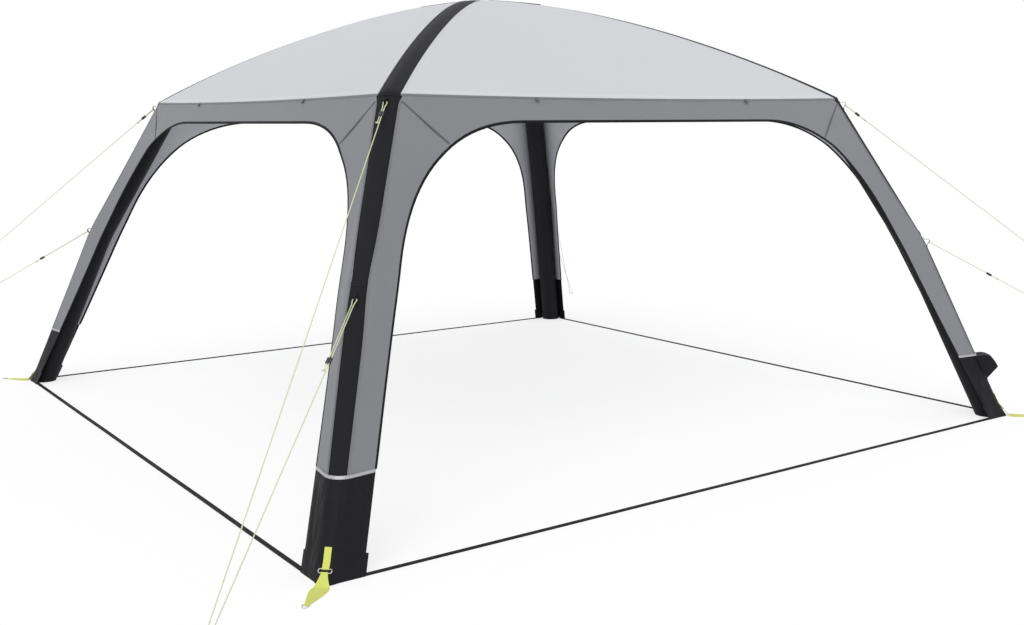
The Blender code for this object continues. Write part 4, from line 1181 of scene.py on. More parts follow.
class SHELTER_OT_beams(bpy.types.Operator):
    """Inflate the two air tubes and sew the black sleeves round them"""
    bl_idname = "shelter.beams"
    bl_label = "Air beams"
    SLEEVE_SIDES = 40
    TUBE_SIDES = 28
    SLEEVE_WALL = 0.0015
    TUBE_GAP = 0.0022
    SOLE_GAP = 0.002
    CREASE = 0.010
    CREASE_START = 0.1
    CREASE_REST = 0.9

    def execute(self, context):
        form = form_of(context)
        for tag, leg in BEAMS.items():
            rings = self.rings(form, tag == "rear", form.s.beam_radius, 0.0,
                               self.SLEEVE_SIDES, True)
            sleeve = tube("sleeve_" + tag, rings)
            settle(sleeve, "black_cloth", LEGS[leg], angle=55.0)
            hand_over(sleeve, "black_cloth", nodes=["beam_sleeve_" + tag])
            inset = self.SLEEVE_WALL + self.TUBE_GAP
            rings = self.rings(form, tag == "rear", form.s.beam_radius - inset, inset,
                               self.TUBE_SIDES, False)
            air = tube("air_tube_" + tag, rings)
            settle(air, "bladder", LEGS[leg], angle=55.0)
            hand_over(air, "bladder", nodes=["air_beam_" + tag])
        return {"FINISHED"}

    def rings(self, form, upper, radius, inset, sides, sleeve):
        """Rings of a whole beam; the crossing presses the upper one from below."""
        half = form.half_stations()
        left = []
        for station in half:
            flip = dict(station)
            flip["t"] = -station["t"]
            flip["out"] = (-station["out"][0], station["out"][1])
            left.append(flip)
        rings = []
        for station in left + half[-2::-1]:
            press = form.pinch(station["t"]) * (form.s.beam_radius + form.CROSS_GAP / 2.0)
            low = -form.s.beam_radius + (press if upper else 0.0) + inset
            high = form.s.beam_radius - (0.0 if upper else press) - inset
            middle = (low + high) / 2.0
            scale = (high - low) / (2.0 * radius)
            t, z = station["t"], station["z"]
            floor = self.SLEEVE_WALL + self.SOLE_GAP
            if not sleeve and z < floor:
                t -= math.copysign(floor, t) * abs(station["path"][0] / station["path"][1])
                z = floor
            ring = []
            for i in range(sides):
                angle = 2.0 * math.pi * i / sides
                w, h = form.section(station, angle, radius, sleeve)
                if sleeve and station["spread"] == 0.0 and z > self.CREASE_START:
                    crush = ripple((t * 2.2, w * 9.0, z * 6.0), 2.6, 3.0) - self.CREASE_REST
                    draw = 1.0 + self.CREASE * crush
                    w, h = w * draw, h * draw
                h = middle + h * scale
                ring.append(Vector((t + station["out"][0] * h, w, z + station["out"][1] * h)))
            rings.append(ring)
        return rings


class SHELTER_OT_crown(bpy.types.Operator):
    """Sew the black patch over the crossing of the beams"""
    bl_idname = "shelter.crown"
    bl_label = "Crown patch"
    REACH = 0.33
    HALF = 0.054
    THICK = 0.0015
    SEAT = 0.0009
    HEM = 0.0006
    ROWS = 22
    COLUMNS = 8

    def execute(self, context):
        form = form_of(context)
        rows = []
        for i in range(2 * self.ROWS + 1):
            t = self.REACH * (i / self.ROWS - 1.0)
            row = []
            for k in range(2 * self.COLUMNS + 1):
                w = self.HALF * (k / self.COLUMNS - 1.0)
                half = (abs(t) + abs(w)) / ROOT2
                height = form.roof_point(form.roof_share(half))[1]
                hem = self.HEM * (smooth_step(abs(w), self.HALF * 0.8, self.HALF * 0.9)
                                  + smooth_step(abs(t), self.REACH * 0.95, self.REACH * 0.98))
                row.append(Vector((t, w, height + self.SEAT + hem)))
            rows.append(row)
        patch = grid("crown_band", rows)
        face_out(patch, (0.0, 0.0, 1.0))
        thicken(patch, self.THICK, offset=1.0)
        settle(patch, "black_cloth", LEGS["front_right"])
        hand_over(patch, "black_cloth", nodes=["crown_patch"])
        return {"FINISHED"}


# Feet

HEM_HEIGHT = 0.075
HEM_FLARE = 0.012
HEM_LIFT = 0.0012
HEM_LAP = 0.008
EDGE_LAP = 0.004
WINDOW = (0.20, 0.315)


def leg_outline(form, z, flare=0.0, fold=0.0, wide=0.0):
    """Outside of a lower leg at height z: wing, round the beam, other wing."""
    cut = LegCut(form, z)
    tangent = form.inset * math.sin(cut.lean)
    wing = cut.tangent - form.jamb_half(z) + wide * ROOT2
    side = []
    for i in range(9):
        share = i / 9.0
        push = fold * ripple((z * 1.3, share * 2.5, 7.0), 3.3, 5.0) * math.sin(share * 3.0)
        t, w, height = cut.wing(wing * (1.0 - share), push)
        side.append(Vector((t, -w, height)))
    arc = []
    for i in range(15):
        angle = (cut.lean + cut.turn) * (i / 7.0 - 1.0)
        t, w, _ = cut.place(angle, 0.0)
        push = flare * max(0.0, 1.0 - (w / tangent) ** 2)
        push += fold * 0.25 * ripple((z * 2.0, w * 30.0, 3.0), 3.0, 8.0)
        arc.append(Vector((t + push, w, z)))
    other = [Vector((p.x, -p.y, z)) for p in reversed(side)]
    return side + arc + other


class SHELTER_OT_gaiters(bpy.types.Operator):
    """Sew the black foot gaiters, two of them with a valve window"""
    bl_idname = "shelter.gaiters"
    bl_label = "Foot gaiters"
    LOW_RINGS = (HEM_LIFT, 0.012, 0.028, 0.045, 0.062, 0.0735, 0.0765, 0.09)
    TOP_RING = 0.328
    FOLD = 0.0085
    HEM_SWELL = 0.0025
    WINDOW_TRIM = 0.004
    WINDOW_HALF = 0.0355
    TAPE_TRIM = 0.001
    TAPE_HALF = 0.036
    TAPE_CORNER = 0.012
    TAPE_STEP = 0.008
    TAPE_PROFILE = ((-0.004, -0.0026), (-0.004, 0.0), (-0.003, 0.0012), (0.004, 0.0014),
                    (0.005, 0.0006), (0.005, -0.0004), (-0.001, -0.0010), (-0.002, -0.0026))
    BAND_PROFILE = ((0.3306, 0.0004), (0.3311, 0.0012), (0.3365, 0.0012), (0.3419, 0.0012),
                    (0.3424, 0.0004))
    BAND_THICK = 0.0009

    def execute(self, context):
        form = form_of(context)
        last = self.LOW_RINGS[-1]
        heights = list(self.LOW_RINGS)
        heights += [last + (WINDOW[0] - last) * i / 8.0 for i in range(1, 9)]
        heights += [WINDOW[0] + (WINDOW[1] - WINDOW[0]) * i / 9.0 for i in range(1, 10)]
        heights += [self.TOP_RING, form.s.gaiter_top]
        for leg, turn in LEGS.items():
            rows = []
            for z in heights:
                hem = 1.0 if z < HEM_HEIGHT else 0.0
                flare = HEM_FLARE * max(0.0, 1.0 - z / HEM_HEIGHT) + self.HEM_SWELL * hem
                fold = self.FOLD * smooth_step(z, 0.0, 0.05) * (1.0 - smooth_step(z, 0.25, 0.335))
                rows.append(leg_outline(form, z, flare, fold, EDGE_LAP + HEM_LAP * hem))
            gaiter = grid("gaiter_" + leg, rows)
            if leg in BEAMS.values():
                self.cut_window(gaiter)
            face_out(gaiter, (1.0, 0.0, 0.3))
            thicken(gaiter, form.s.cloth)
            settle(gaiter, "gaiter_cloth", turn, angle=50.0)
            hand_over(gaiter, "black_cloth", nodes=["foot_gaiter_" + leg])
            self.band(form, leg, turn)
            if leg in BEAMS.values():
                self.window_tape(form, leg, turn)
        return {"FINISHED"}

    def cut_window(self, gaiter):
        """Take out the faces of a gaiter's valve window."""
        unselect(gaiter, "FACE")
        low, high = WINDOW[0] + self.WINDOW_TRIM, WINDOW[1] - self.WINDOW_TRIM
        for face in gaiter.data.polygons:
            face.select = low < face.center.z < high and abs(face.center.y) < self.WINDOW_HALF
        bpy.ops.object.mode_set(mode="EDIT")
        bpy.ops.mesh.delete(type="FACE")
        bpy.ops.object.mode_set(mode="OBJECT")

    def around(self, form, z, w, push):
        """Point just outside the gaiter over the beam."""
        foot = form.wall_station(0.0)
        reach = form.inset + push
        rise = foot["path"][1]
        return Vector((form.lower_axis(z) + math.sqrt(reach * reach - w * w) / rise, w, z))

    def window_tape(self, form, leg, turn):
        """Black tape round a valve window."""
        low, high = WINDOW[0] + self.TAPE_TRIM, WINDOW[1] - self.TAPE_TRIM
        corner = self.TAPE_CORNER
        side = self.TAPE_HALF - corner
        path = []
        for cx, cz, start in ((side, high - corner, 0.0), (-side, high - corner, 90.0),
                              (-side, low + corner, 180.0), (side, low + corner, 270.0)):
            for k in range(5):
                angle = math.radians(start + 22.5 * k)
                path.append((cx + corner * math.cos(angle), cz + corner * math.sin(angle)))
        dense = []
        for i, (w, z) in enumerate(path):
            nw, nz = path[(i + 1) % len(path)]
            steps = max(1, int(math.hypot(nw - w, nz - z) / self.TAPE_STEP))
            dense += [(w + (nw - w) * k / steps, z + (nz - z) * k / steps) for k in range(steps)]
        rings = []
        for i, (w, z) in enumerate(dense):
            bw, bz = dense[i - 1]
            aw, az = dense[(i + 1) % len(dense)]
            along = unit2(aw - bw, az - bz)
            rings.append([self.around(form, z - along[0] * reach, w + along[1] * reach, push)
                          for reach, push in self.TAPE_PROFILE])
        rings.append(rings[0])
        tape = grid("window_tape_" + leg, rings, closed=True)
        close_shell(tape, MERGE)
        settle(tape, "binding", turn, angle=50.0)
        hand_over(tape, "binding")

    def band(self, form, leg, turn):
        """Silver band round the top of a gaiter."""
        rows = []
        for z, lift in self.BAND_PROFILE:
            row = []
            for p in leg_outline(form, z, wide=EDGE_LAP):
                side = math.copysign(min(1.0, abs(p.y) / 0.045), p.y)
                out = Vector((1.0, side * 0.75, 0.3)).normalized()
                row.append(p + out * lift)
            rows.append(row)
        band = grid("silver_band_" + leg, rows)
        face_out(band, (1.0, 0.0, 0.3))
        thicken(band, self.BAND_THICK)
        settle(band, "reflective", turn, angle=50.0)
        hand_over(band, "black_cloth")


def ribbon(name, path, widths, thickness, columns=6, cup=0.0):
    """Band along a path of (t, z) in a leg's upright plane, a little cupped."""
    rows = []
    for (t, z), half in zip(path, widths):
        shares = [2.0 * k / columns - 1.0 for k in range(columns + 1)]
        rows.append([Vector((t, half * share, z + cup * (share * share - 0.5)))
                     for share in shares])
    piece = grid(name, rows)
    thicken(piece, thickness, offset=0.0)
    close_shell(piece)
    return piece


def curl(centre, radius, start, sweep, steps):
    """Points round a bar, from start through sweep, in degrees."""
    angles = [math.radians(start + sweep * i / steps) for i in range(steps + 1)]
    return [(centre[0] + radius * math.cos(a), centre[1] + radius * math.sin(a)) for a in angles]


class Peg:
    """Places of a pegging point in a leg's upright plane."""
    WEB_HALF = 0.013
    WEB = 0.0014
    WEB_TOP = 0.118
    WIRE = 0.0018
    EYE_WIRE = 0.0016
    GAP = 0.0005
    RING_HALF = 0.017
    DROP = 0.016
    HEIGHT = 0.052
    STAND_OFF = 0.0072
    LENGTH = 0.19
    TIP_HALF = 0.009
    SLOPE = 0.016
    LEAF = ((0.034, 0.0295), (0.055, 0.0325), (0.075, 0.032), (0.10, 0.0282), (0.125, 0.023),
            (0.152, 0.0168), (0.176, 0.011))

    def __init__(self, form):
        self.form = form
        rise = form.wall_station(0.0)["path"][1]
        self.surface = lambda z: form.lower_axis(z) + form.inset / rise
        self.upper = (self.surface(self.HEIGHT) + self.STAND_OFF, self.HEIGHT)
        self.lower = (self.upper[0] + self.DROP / ROOT2, self.HEIGHT - self.DROP / ROOT2)
        self.eye = (self.lower[0] + self.LENGTH, self.WEB + self.GAP + self.EYE_WIRE + form.SEAT)


def wire_loop(name, long_half, round_radius, wire, place):
    """Stadium of round wire: a torus pulled apart in edit mode."""
    bpy.ops.object.select_all(action="DESELECT")
    bpy.ops.mesh.primitive_torus_add(major_radius=round_radius, minor_radius=wire,
                                     major_segments=32, minor_segments=14)
    loop = bpy.context.object
    loop.name = name
    loop.data.name = name
    for sign in (1.0, -1.0):
        unselect(loop, "VERT")
        for vert in loop.data.vertices:
            vert.select = vert.co.y * sign > 1e-4 and vert.co.y * sign < 1.0
        bpy.ops.object.mode_set(mode="EDIT")
        bpy.ops.transform.translate(value=(0.0, sign * long_half, 0.0))
        bpy.ops.object.mode_set(mode="OBJECT")
    loop.data.transform(place)
    return loop


class SHELTER_OT_pegging(bpy.types.Operator):
    """Make the yellow webbing, steel rings, tabs and eyes of the feet"""
    bl_idname = "shelter.pegging"
    bl_label = "Pegging points"
    EYE_RADIUS = 0.0125
    EYE_SIDES = (-0.0035, 0.0085)
    EYE_SPREAD = (0.42, 0.22)

    def execute(self, context):
        form = form_of(context)
        peg = Peg(form)
        bar = peg.upper
        radius = peg.WIRE + peg.GAP + peg.WEB / 2.0
        path = []
        for i in range(6):
            z = peg.WEB_TOP + (HEM_HEIGHT - peg.WEB_TOP) * i / 5.0
            path.append((peg.surface(z) + peg.WEB * 0.5 + 0.0006, z))
        path += curl(bar, radius, 150.0, -300.0, 20)[1:]
        web = ribbon("peg_webbing", path, [peg.WEB_HALF] * len(path), peg.WEB)
        lower = peg.lower
        ground = peg.WEB / 2.0 + form.SEAT
        loop = curl(lower, radius, -20.0, 290.0, 20)[::-1]
        widths = [peg.WEB_HALF] * len(loop)
        last = loop[-1]
        path = list(loop)
        knots = [last, (last[0] + peg.SLOPE, (ground + last[1]) / 2.0),
                 (lower[0] + peg.LEAF[0][0], ground)]
        for i in range(1, 9):
            u = i / 8.0
            a, b, c = knots
            path.append(tuple((1 - u) ** 2 * a[k] + 2 * u * (1 - u) * b[k] + u * u * c[k]
                              for k in (0, 1)))
            widths.append(peg.WEB_HALF + (peg.LEAF[0][1] - peg.WEB_HALF) * u ** 1.3)
        for reach, half in peg.LEAF[1:]:
            path.append((lower[0] + reach, ground + 0.0002))
            widths.append(half)
        eye = curl(peg.eye, peg.EYE_WIRE + peg.GAP + peg.WEB / 2.0, -90.0, 290.0, 18)
        path += eye
        widths += [peg.TIP_HALF] * len(eye)
        tab = ribbon("peg_leaf", path, widths, peg.WEB)
        slope = math.radians(45.0)
        middle = ((bar[0] + lower[0]) / 2.0, (bar[1] + lower[1]) / 2.0)
        place = Matrix.Translation((middle[0], 0.0, middle[1])) @ Matrix.Rotation(slope, 4, "Y")
        ring = wire_loop("peg_wire", peg.RING_HALF, peg.DROP / 2.0, peg.WIRE, place)
        end = self.eye_wire(peg)
        self.share(web, "peg_webbing_", "yellow_webbing")
        self.share(tab, "peg_leaf_", "yellow_webbing", "peg_tab_")
        self.share(ring, "ring_", "steel", "peg_ring_")
        self.share(end, "eye_", "steel", "peg_eye_")
        return {"FINISHED"}

    def eye_wire(self, peg):
        """Rounded triangle of wire, drawn out of a torus."""
        bpy.ops.object.select_all(action="DESELECT")
        bpy.ops.mesh.primitive_torus_add(major_radius=self.EYE_RADIUS, minor_radius=peg.EYE_WIRE,
                                         major_segments=40, minor_segments=12)
        end = bpy.context.object
        end.name = "peg_end"
        base, tip = self.EYE_SIDES
        wider, narrower = self.EYE_SPREAD
        for vert in end.data.vertices:
            angle = math.atan2(vert.co.y, vert.co.x)
            ring = Vector((math.cos(angle), math.sin(angle), 0.0)) * self.EYE_RADIUS
            off = vert.co - ring
            back = smooth_step(-ring.x, 0.0, self.EYE_RADIUS)
            front = smooth_step(ring.x, -0.004, self.EYE_RADIUS)
            x = ring.x * (1.0 - back) + back * base + front * tip
            y = ring.y * (1.0 + wider * back) * (1.0 - narrower * front)
            vert.co = Vector((x, y, 0.0)) + off
        low = min(v.co.x for v in end.data.vertices)
        shift = peg.eye[0] - peg.EYE_WIRE - low
        end.data.transform(Matrix.Translation((shift, 0.0, peg.eye[1])))
        return end

    def share(self, source, stem, finish, node=None):
        """Copy a piece to every leg, where it rides on the node that it replaces."""
        settle(source, finish, angle=50.0)
        for leg, turn in LEGS.items():
            rides = (node + leg, [node + leg]) if node else ()
            hand_over(twin(source, stem + leg, turn), finish, *rides)
        bpy.data.objects.remove(source)


class SHELTER_OT_straps(bpy.types.Operator):
    """Lay the black ground straps between the feet"""
    bl_idname = "shelter.straps"
    bl_label = "Ground straps"
    THICK = 0.004
    STEPS = 120
    DRIFT = 0.003
    EDGE = 0.09
    SHARE = 0.82

    def execute(self, context):
        low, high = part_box("ground_strap_front")
        rows = []
        for i in range(self.STEPS + 1):
            x = low.x + (high.x - low.x) * i / self.STEPS
            calm = math.sin(math.pi * i / self.STEPS) ** 0.5
            drift = ripple((x, 0.0, 0.0), 1.1, 11.0) * self.DRIFT * calm
            shares = [self.EDGE + self.SHARE * k / 4.0 for k in range(5)]
            rows.append([Vector((x, low.y + (high.y - low.y) * share + drift, self.THICK))
                         for share in shares])
        source = grid("strap_front", rows)
        face_out(source, (0.0, 0.0, 1.0))
        thicken(source, self.THICK)
        settle(source, "black_webbing")
        for side, piece in each_side(source, "strap_"):
            hand_over(piece, "black_webbing", nodes=["ground_strap_" + side])
        return {"FINISHED"}


# Valves

VALVE_HEIGHT = 0.262
VALVE_GAP = 0.0006


def valve_place(form, turn):
    """Matrix that stands a valve on a leg, its axis square to the sleeve."""
    point, out, along = form.leg_surface(VALVE_HEIGHT)
    side = along.cross(out)
    stand = Matrix((side, along, out)).transposed().to_4x4()
    return Matrix.Rotation(math.radians(turn), 4, "Z") @ Matrix.Translation(point) @ stand


def lathe(name, profile, sides=48):
    """Round piece drawn up ring by ring along (radius, height) steps."""
    bpy.ops.object.select_all(action="DESELECT")
    radius, height = profile[0]
    bpy.ops.mesh.primitive_circle_add(vertices=sides, radius=radius, fill_type="NGON",
                                      location=(0.0, 0.0, height))
    piece = bpy.context.object
    piece.name = name
    piece.data.name = name
    bpy.ops.object.transform_apply(location=True, rotation=True, scale=True)
    bpy.ops.object.mode_set(mode="EDIT")
    bpy.ops.mesh.select_all(action="SELECT")
    for next_radius, next_height in profile[1:]:
        bpy.ops.mesh.extrude_region_move(
            TRANSFORM_OT_translate={"value": (0.0, 0.0, next_height - height)})
        share = next_radius / radius
        bpy.ops.transform.resize(value=(share, share, 1.0), center_override=(0.0, 0.0, 0.0))
        radius, height = next_radius, next_height
    bpy.ops.object.mode_set(mode="OBJECT")
    close_shell(piece)
    return piece


def soften(piece, width, segments=2, angle=30.0):
    """Round a moulded piece's sharp edges."""
    edge = piece.modifiers.new("soft edges", "BEVEL")
    edge.width = width
    edge.segments = segments
    edge.limit_method = "ANGLE"
    edge.angle_limit = math.radians(angle)
    only(piece)
    bpy.ops.object.modifier_apply(modifier=edge.name)


class SHELTER_OT_valves(bpy.types.Operator):
    """Mould the two inflation valves and their ribbed caps"""
    bl_idname = "shelter.valves"
    bl_label = "Valves"
    NECK = 0.0145
    DEPTH = 0.014
    FLANGE = 0.024
    FLANGE_THICK = 0.002
    COLLAR = 0.0175
    COLLAR_HEIGHT = 0.007
    RECESS = 0.009
    RECESS_DEPTH = 0.0035
    STEM = 0.0032
    SLACK = 0.0005
    WALL = 0.0015
    RIBS = 24

    def execute(self, context):
        form = form_of(context)
        base = VALVE_GAP
        step = base + self.FLANGE_THICK
        top = step + self.COLLAR_HEIGHT
        floor = top - self.RECESS_DEPTH
        body = lathe("valve_body", [
            (self.NECK - 0.002, -self.DEPTH), (self.NECK, -self.DEPTH + 0.002), (self.NECK, base),
            (self.FLANGE - 0.0008, base), (self.FLANGE, base + 0.0008),
            (self.FLANGE - 0.0006, step), (self.COLLAR + 0.0012, step + 0.0003),
            (self.COLLAR, step + 0.0014), (self.COLLAR, top - 0.0007), (self.COLLAR - 0.0007, top),
            (self.RECESS + 0.0006, top), (self.RECESS, top - 0.0006), (self.RECESS, floor),
            (self.STEM, floor), (self.STEM, top - 0.0011), (self.STEM - 0.0006, top - 0.0004)])
        cap = self.cap(step, top)
        for tag, leg in BEAMS.items():
            place = valve_place(form, LEGS[leg])
            for source, stem, node in ((body, "valve_seat_", "valve_body_" + tag),
                                       (cap, "valve_lid_", "valve_cap_" + tag)):
                piece = twin(source, stem + tag, 0.0)
                piece.data.transform(place)
                settle(piece, "black_plastic", angle=35.0)
                hand_over(piece, "black_plastic", ROOT if source is body else node, [node])
        for source in (body, cap):
            bpy.data.objects.remove(source)
        return {"FINISHED"}

    def cap(self, step, top):
        """Hollow cap with ribs for the fingers and a lug at its hinge."""
        inner = self.COLLAR + self.SLACK
        outer = inner + self.WALL
        ceiling = top + 0.0003
        skirt = step + self.SLACK
        cap = lathe("valve_cap", [
            (0.003, ceiling), (inner, ceiling), (inner, skirt), (outer - 0.0003, skirt),
            (outer, skirt + 0.0004), (outer, ceiling + self.WALL * 0.4),
            (outer - 0.0008, ceiling + self.WALL), (0.012, ceiling + self.WALL),
            (0.0115, ceiling + self.WALL - 0.0005), (0.003, ceiling + self.WALL - 0.0005)])
        unselect(cap, "FACE")
        for face in cap.data.polygons:
            x, y, z = face.center
            side = math.hypot(x, y) > outer - 0.0004 and abs(face.normal.z) < 0.2
            turn = math.degrees(math.atan2(y, x)) % (360.0 / self.RIBS)
            face.select = side and z > skirt + 0.0005 and turn < 180.0 / self.RIBS
        bpy.ops.object.mode_set(mode="EDIT")
        bpy.ops.mesh.inset(thickness=0.0003, depth=0.0006, use_individual=True)
        bpy.ops.object.mode_set(mode="OBJECT")
        bpy.ops.object.select_all(action="DESELECT")
        bpy.ops.mesh.primitive_cube_add(size=1.0, location=(0.0, -(outer + self.FLANGE) / 2.0,
                                                            step + 0.0012))
        lug = bpy.context.object
        lug.scale = (0.008, self.FLANGE - outer + 0.0014, 0.0013)
        bpy.ops.object.transform_apply(location=True, rotation=True, scale=True)
        soften(lug, 0.0004)
        bpy.ops.object.select_all(action="DESELECT")
        lug.select_set(True)
        cap.select_set(True)
        bpy.context.view_layer.objects.active = cap
        bpy.ops.object.join()
        return cap


class SHELTER_OT_flaps(bpy.types.Operator):
    """Sew the cloth hood over each valve window, standing open"""
    bl_idname = "shelter.flaps"
    bl_label = "Valve flaps"
    RISE = 0.010
    PROFILE = ((0.0, 0.0, 0.042), (0.03, 0.011, 0.045), (0.06, 0.008, 0.043),
               (0.085, -0.018, 0.038), (0.103, -0.048, 0.030))
    DEPTH = 0.116
    TURN_PLACE = 0.56
    STAND_OFF = 0.0024
    CHEEK_HALF = 0.0435
    BLEND = 0.030
    STEPS = 32
    COLUMNS = 24
    CHEEK_COLUMNS = 9
    FOLD = 0.0022
    BOW = (0.002, 0.0025)

    def execute(self, context):
        form = form_of(context)
        z = WINDOW[1] + self.RISE
        rise = form.wall_station(0.0)["path"][1]
        t = form.lower_axis(z) + form.inset / rise + form.s.cloth / 2.0 - form.SEAT
        knots = [Vector(p) for p in self.PROFILE]
        rows = []
        for r in range(self.STEPS + 1):
            share = r / self.STEPS
            place = self.spline(knots, share * (len(knots) - 1))
            bend = (1.0 - share) / rise
            row = []
            for k in range(self.COLUMNS + 1):
                across = 2.0 * k / self.COLUMNS - 1.0
                w = place.z * across
                set_back = form.inset - math.sqrt(form.inset ** 2 - w * w)
                fold = ripple((share * 2.0, across * 1.6, 5.0), 1.4, 6.0) * self.FOLD * share
                row.append(Vector((t + place.x - set_back * bend, w, z + place.y + fold)))
            end = self.cheek_end(form, share, knots[-1]) + Vector((t, 0.0, z))
            cheek = self.cheek(row[-1], end, share)
            other = [Vector((p.x, -p.y, p.z)) for p in reversed(cheek)]
            rows.append(other + row + cheek)
        source = grid("flap", rows)
        face_out(source, (0.4, 0.0, 1.0))
        thicken(source, form.s.cloth, offset=0.0, even=False)
        middle = z - self.DEPTH * 0.55
        _, out, _ = form.leg_axis(middle)
        start = Vector((form.lower_axis(middle) + form.inset / rise, 0.0, middle))
        for tag, leg in BEAMS.items():
            body = "valve_flap_" + tag
            piece = dress(source, "flap_cloth_" + tag, "black_cloth", LEGS[leg], 40.0, None,
                          [body])
            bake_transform(piece)
        bpy.data.objects.remove(source)
        return {"FINISHED"}

    def cheek_end(self, form, share, tip):
        """Lower end of the hood's side: down the leg, then out to the hood's tip."""
        path = form.wall_station(0.0)["path"]
        slope = -path[0] / path[1]
        set_back = form.inset - math.sqrt(form.inset ** 2 - self.CHEEK_HALF ** 2)
        foot = Vector((slope * self.DEPTH - set_back / path[1] * 0.6 + self.STAND_OFF,
                       self.CHEEK_HALF, -self.DEPTH))
        if share < self.TURN_PLACE:
            drop = 0.006 + (self.DEPTH - 0.006) * share / self.TURN_PLACE
            way = drop / self.DEPTH
            return Vector((slope * drop - set_back / path[1] * (1.0 - 0.4 * way) + self.STAND_OFF,
                           self.CHEEK_HALF, -drop))
        u = (share - self.TURN_PLACE) / (1.0 - self.TURN_PLACE)
        return foot.lerp(Vector((tip.x - 0.001, tip.z, tip.y - 0.006)), u)

    def cheek(self, top, end, share):
        """Points down the hood's side, slightly bowed, after its top edge."""
        points = []
        for k in range(1, self.CHEEK_COLUMNS + 1):
            u = k / self.CHEEK_COLUMNS
            bow = self.BOW[0] + self.BOW[1] * ripple((share * 3.0, u, 2.0), 1.6, 4.0)
            points.append(top.lerp(end, u) + Vector((0.0, math.sin(u * math.pi) * bow, 0.0)))
        return points

    def spline(self, knots, place):
        """Smooth curve through the profile's points."""
        i = min(int(place), len(knots) - 2)
        u = place - i
        before = knots[max(0, i - 1)]
        after = knots[min(len(knots) - 1, i + 2)]
        a, b = knots[i], knots[i + 1]
        square = 2.0 * before - 5.0 * a + 4.0 * b - after
        cube = 3.0 * a - before - 3.0 * b + after
        return 0.5 * (2.0 * a + (b - before) * u + square * u ** 2 + cube * u ** 3)


# Guy lines

ANCHORS = {"upper": (1.655, 0.085, 0.012), "lower": (0.93, 0.36, -0.012)}
GUY_TURN = 0.0085
GUY_SPACING = 0.004
GUY_SEAT = 0.0013
GUY_TAIL = 0.045
GUY_CLOSING = 0.032
STOP_LEAD = 0.0065
ANCHOR_HALF = 0.005
ANCHOR_REACH = 0.024
ANCHOR_THICK = 0.0016


def sweep(name, path, radius, sides=12, ends=True):
    """Round cord along a path, its ends rounded off."""
    count = len(path)
    frames = []
    normal = None
    for i, point in enumerate(path):
        along = (path[min(i + 1, count - 1)] - path[max(i - 1, 0)]).normalized()
        if normal is None:
            normal = along.orthogonal().normalized()
        normal = (normal - along * normal.dot(along)).normalized()
        frames.append((point, along, normal, along.cross(normal)))
    rings = []
    scales = [1.0] * count
    places = list(frames)
    if ends:
        first, last = frames[0], frames[-1]
        places = [(first[0] - first[1] * radius * 0.6, *first[1:])] + places
        places.append((last[0] + last[1] * radius * 0.6, *last[1:]))
        scales = [0.55] + scales + [0.55]
    for (point, _, u, v), scale in zip(places, scales):
        ring = []
        for k in range(sides):
            angle = 2.0 * math.pi * k / sides
            ring.append(point + (u * math.cos(angle) + v * math.sin(angle)) * radius * scale)
        rings.append(ring)
    return tube(name, rings)


def guy_frame(form, height):
    """A guy line's anchor on a leg: place, directions, the line's apex and direction."""
    point, out, along = form.fold_surface(height)
    radius = ANCHOR_REACH / 2.0
    centre = point + out * (radius + form.SEAT)
    ground = Vector((form.s.guy_reach, 0.0, form.s.guy_diameter))
    line = (ground - centre).normalized()
    set_back = GUY_TURN - math.sqrt(GUY_TURN ** 2 - ANCHOR_HALF ** 2)
    slack = radius - ANCHOR_THICK - form.s.guy_diameter / 2.0 - set_back - GUY_SEAT
    return point, out, along, centre + line * slack, line


def guy_route(form, height, drop, aside):
    """Points of a guy line: its tail, round the anchor, then to the ground."""
    _, _, _, apex, line = guy_frame(form, height)
    near = GUY_TURN + GUY_CLOSING

    def at(along, w):
        return apex + line * along + Vector((0.0, w, 0.0))

    points = [at(drop + GUY_TAIL, -GUY_SPACING), at(drop, -GUY_SPACING), at(near, -GUY_SPACING)]
    for i in range(7):
        angle = math.pi * i / 6.0
        points.append(at(GUY_TURN * (1.0 - math.sin(angle)), -GUY_TURN * math.cos(angle)))
    points += [at(near, GUY_SPACING), at(drop + GUY_TAIL, GUY_SPACING)]
    end = Vector((form.s.guy_reach, aside, form.s.guy_diameter))
    points.append(points[-1].lerp(end, 0.5))
    points.append(end)
    return points, line, at(drop, 0.0)


def knot_path(centre, size):
    """Overhand knot drawn tight, as a closed trefoil."""
    path = []
    for i in range(49):
        a = 2.0 * math.pi * i / 48.0
        path.append(centre + Vector((math.sin(a) + 2.0 * math.sin(2.0 * a),
                                     math.cos(a) - 2.0 * math.cos(2.0 * a),
                                     -math.sin(3.0 * a))) * size)
    return path


